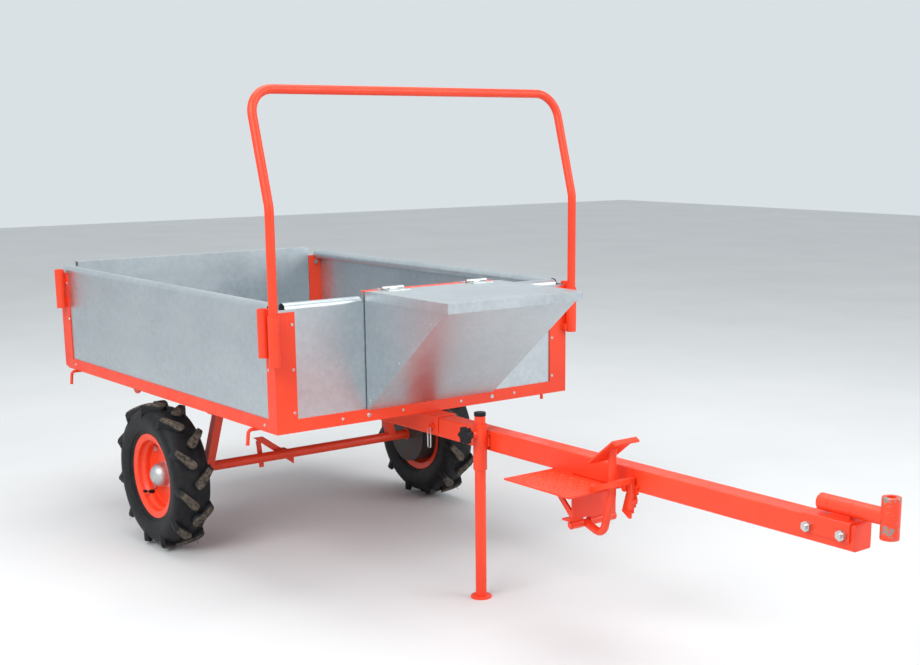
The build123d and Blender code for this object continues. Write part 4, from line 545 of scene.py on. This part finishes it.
# wheel spindles to the axle
for sign in (-1, 1):
    bead(chassis_welds, ring_path(sign * OUTER_SEAM_Y, 0.0, math.tau, 40), 0.0030)
    bead(chassis_welds, ring_path(sign * INNER_SEAM_Y, 0.3, 2.8, 24), 0.0030)
build("chassis_welds", chassis_welds.points, chassis_welds.faces, RED, "chassis")


# ---------------------------------------------------------------- chequer pattern of the footplate
LOZENGE_PITCH = 0.0175
LOZENGE_LONG, LOZENGE_WIDE = 0.0068, 0.0026    # half its length and half its width
CHEQUER_MARGIN_X, CHEQUER_MARGIN_Y = 0.012, 0.011


def make_chequer():
    """Raised lozenges, alternately turned, on the footplate beside the drawbar."""
    shape = Shape()
    columns = int((FOOT_HIGH.x - FOOT_LOW.x - CHEQUER_MARGIN_X) / LOZENGE_PITCH)
    rows = int((-DRAWBAR_HALF - 0.004 - FOOT_LOW.y) / LOZENGE_PITCH)
    for column in range(columns):
        for row in range(rows):
            x = FOOT_LOW.x + CHEQUER_MARGIN_X + LOZENGE_PITCH * column
            y = FOOT_LOW.y + CHEQUER_MARGIN_Y + LOZENGE_PITCH * row
            turn = math.radians(45 if (row + column) % 2 else -45)
            ahead = Vector((math.cos(turn), math.sin(turn), 0))
            across = Vector((-math.sin(turn), math.cos(turn), 0))
            rings = []
            for rise, share in ((-0.0004, 1.1), (0.0006, 0.92), (0.0011, 0.55)):
                middle = Vector((x, y, FOOT_HIGH.z + rise))
                rings.append([middle + ahead * (LOZENGE_LONG * share * math.cos(step))
                              + across * (LOZENGE_WIDE * share * math.sin(step))
                              for step in circle(12)])
            shape.loops(rings)
    build("footplate_chequer", shape.points, shape.faces, RED, "chassis", 60.0)


make_chequer()

# ---------------------------------------------------------------- floor, light and camera
FLOOR_REACH = 14.0
floor_mesh = bpy.data.meshes.new("floor")
corners = [(x * FLOOR_REACH, y * FLOOR_REACH, 0) for x, y in ((-1, -1), (1, -1), (1, 1), (-1, 1))]
floor_mesh.from_pydata(corners, [], [(0, 1, 2, 3)])
floor_finish = Finish("pale_floor", (0.60, 0.60, 0.60), 0.0, 0.85)
shade = floor_finish.span(floor_finish.noise(1.3, 3.0), 0.3, 0.7)
floor_finish.color(floor_finish.mix(shade, (0.64, 0.64, 0.64), (0.68, 0.68, 0.678)))
floor_mesh.materials.append(floor_finish.material)
floor = bpy.data.objects.new("floor", floor_mesh)
bpy.context.scene.collection.objects.link(floor)

world = bpy.data.worlds.new("studio")
bpy.context.scene.world = world
world.use_nodes = True
sky = world.node_tree.nodes["Background"]
sky.inputs["Color"].default_value = (0.90, 0.965, 1.0, 1)
sky.inputs["Strength"].default_value = 0.78


def soft_light(name, place, target, size, power):
    """Rectangular soft box of a size in metres and a power in watts, turned to a target."""
    lamp = bpy.data.lights.new(name, "AREA")
    lamp.shape = "RECTANGLE"
    lamp.size, lamp.size_y = size
    lamp.energy = power
    made = bpy.data.objects.new(name, lamp)
    made.location = place
    made.rotation_euler = (Vector(target) - Vector(place)).to_track_quat("-Z", "Y").to_euler()
    bpy.context.scene.collection.objects.link(made)


soft_light("key", (1.2, -3.8, 3.6), (-0.3, 0, 0.5), (3.2, 2.4), 150.0)
soft_light("fill", (3.6, 2.6, 2.6), (-0.2, 0, 0.5), (3.0, 2.4), 85.0)
soft_light("top", (-0.6, 0.2, 4.4), (-0.6, 0, 0.5), (3.4, 3.0), 100.0)

# Camera as fitted to the photograph: place, direction, roll, lens and the framing's shift
CAMERA_AT = (2.78740, -2.06323, 1.13509)
CAMERA_ROLL = math.radians(0.129)
forward = Vector((-0.75648, 0.61786, -0.21445)).normalized()
right = Vector((0.63257, 0.77450, 0.0))
right = (right - forward * right.dot(forward)).normalized()
right = Matrix.Rotation(CAMERA_ROLL, 3, forward) @ right
up = right.cross(forward)
facing = Matrix((right, up, -forward)).transposed().to_4x4()
camera_data = bpy.data.cameras.new("camera")
camera = bpy.data.objects.new("camera", camera_data)
bpy.context.scene.collection.objects.link(camera)
camera.matrix_world = Matrix.Translation(CAMERA_AT) @ facing
camera_data.sensor_width = 36.0
camera_data.lens = 54.31
camera_data.shift_x = -0.0566
camera_data.shift_y = 0.1106
bpy.context.scene.camera = camera
bpy.context.scene.view_settings.view_transform = "Standard"
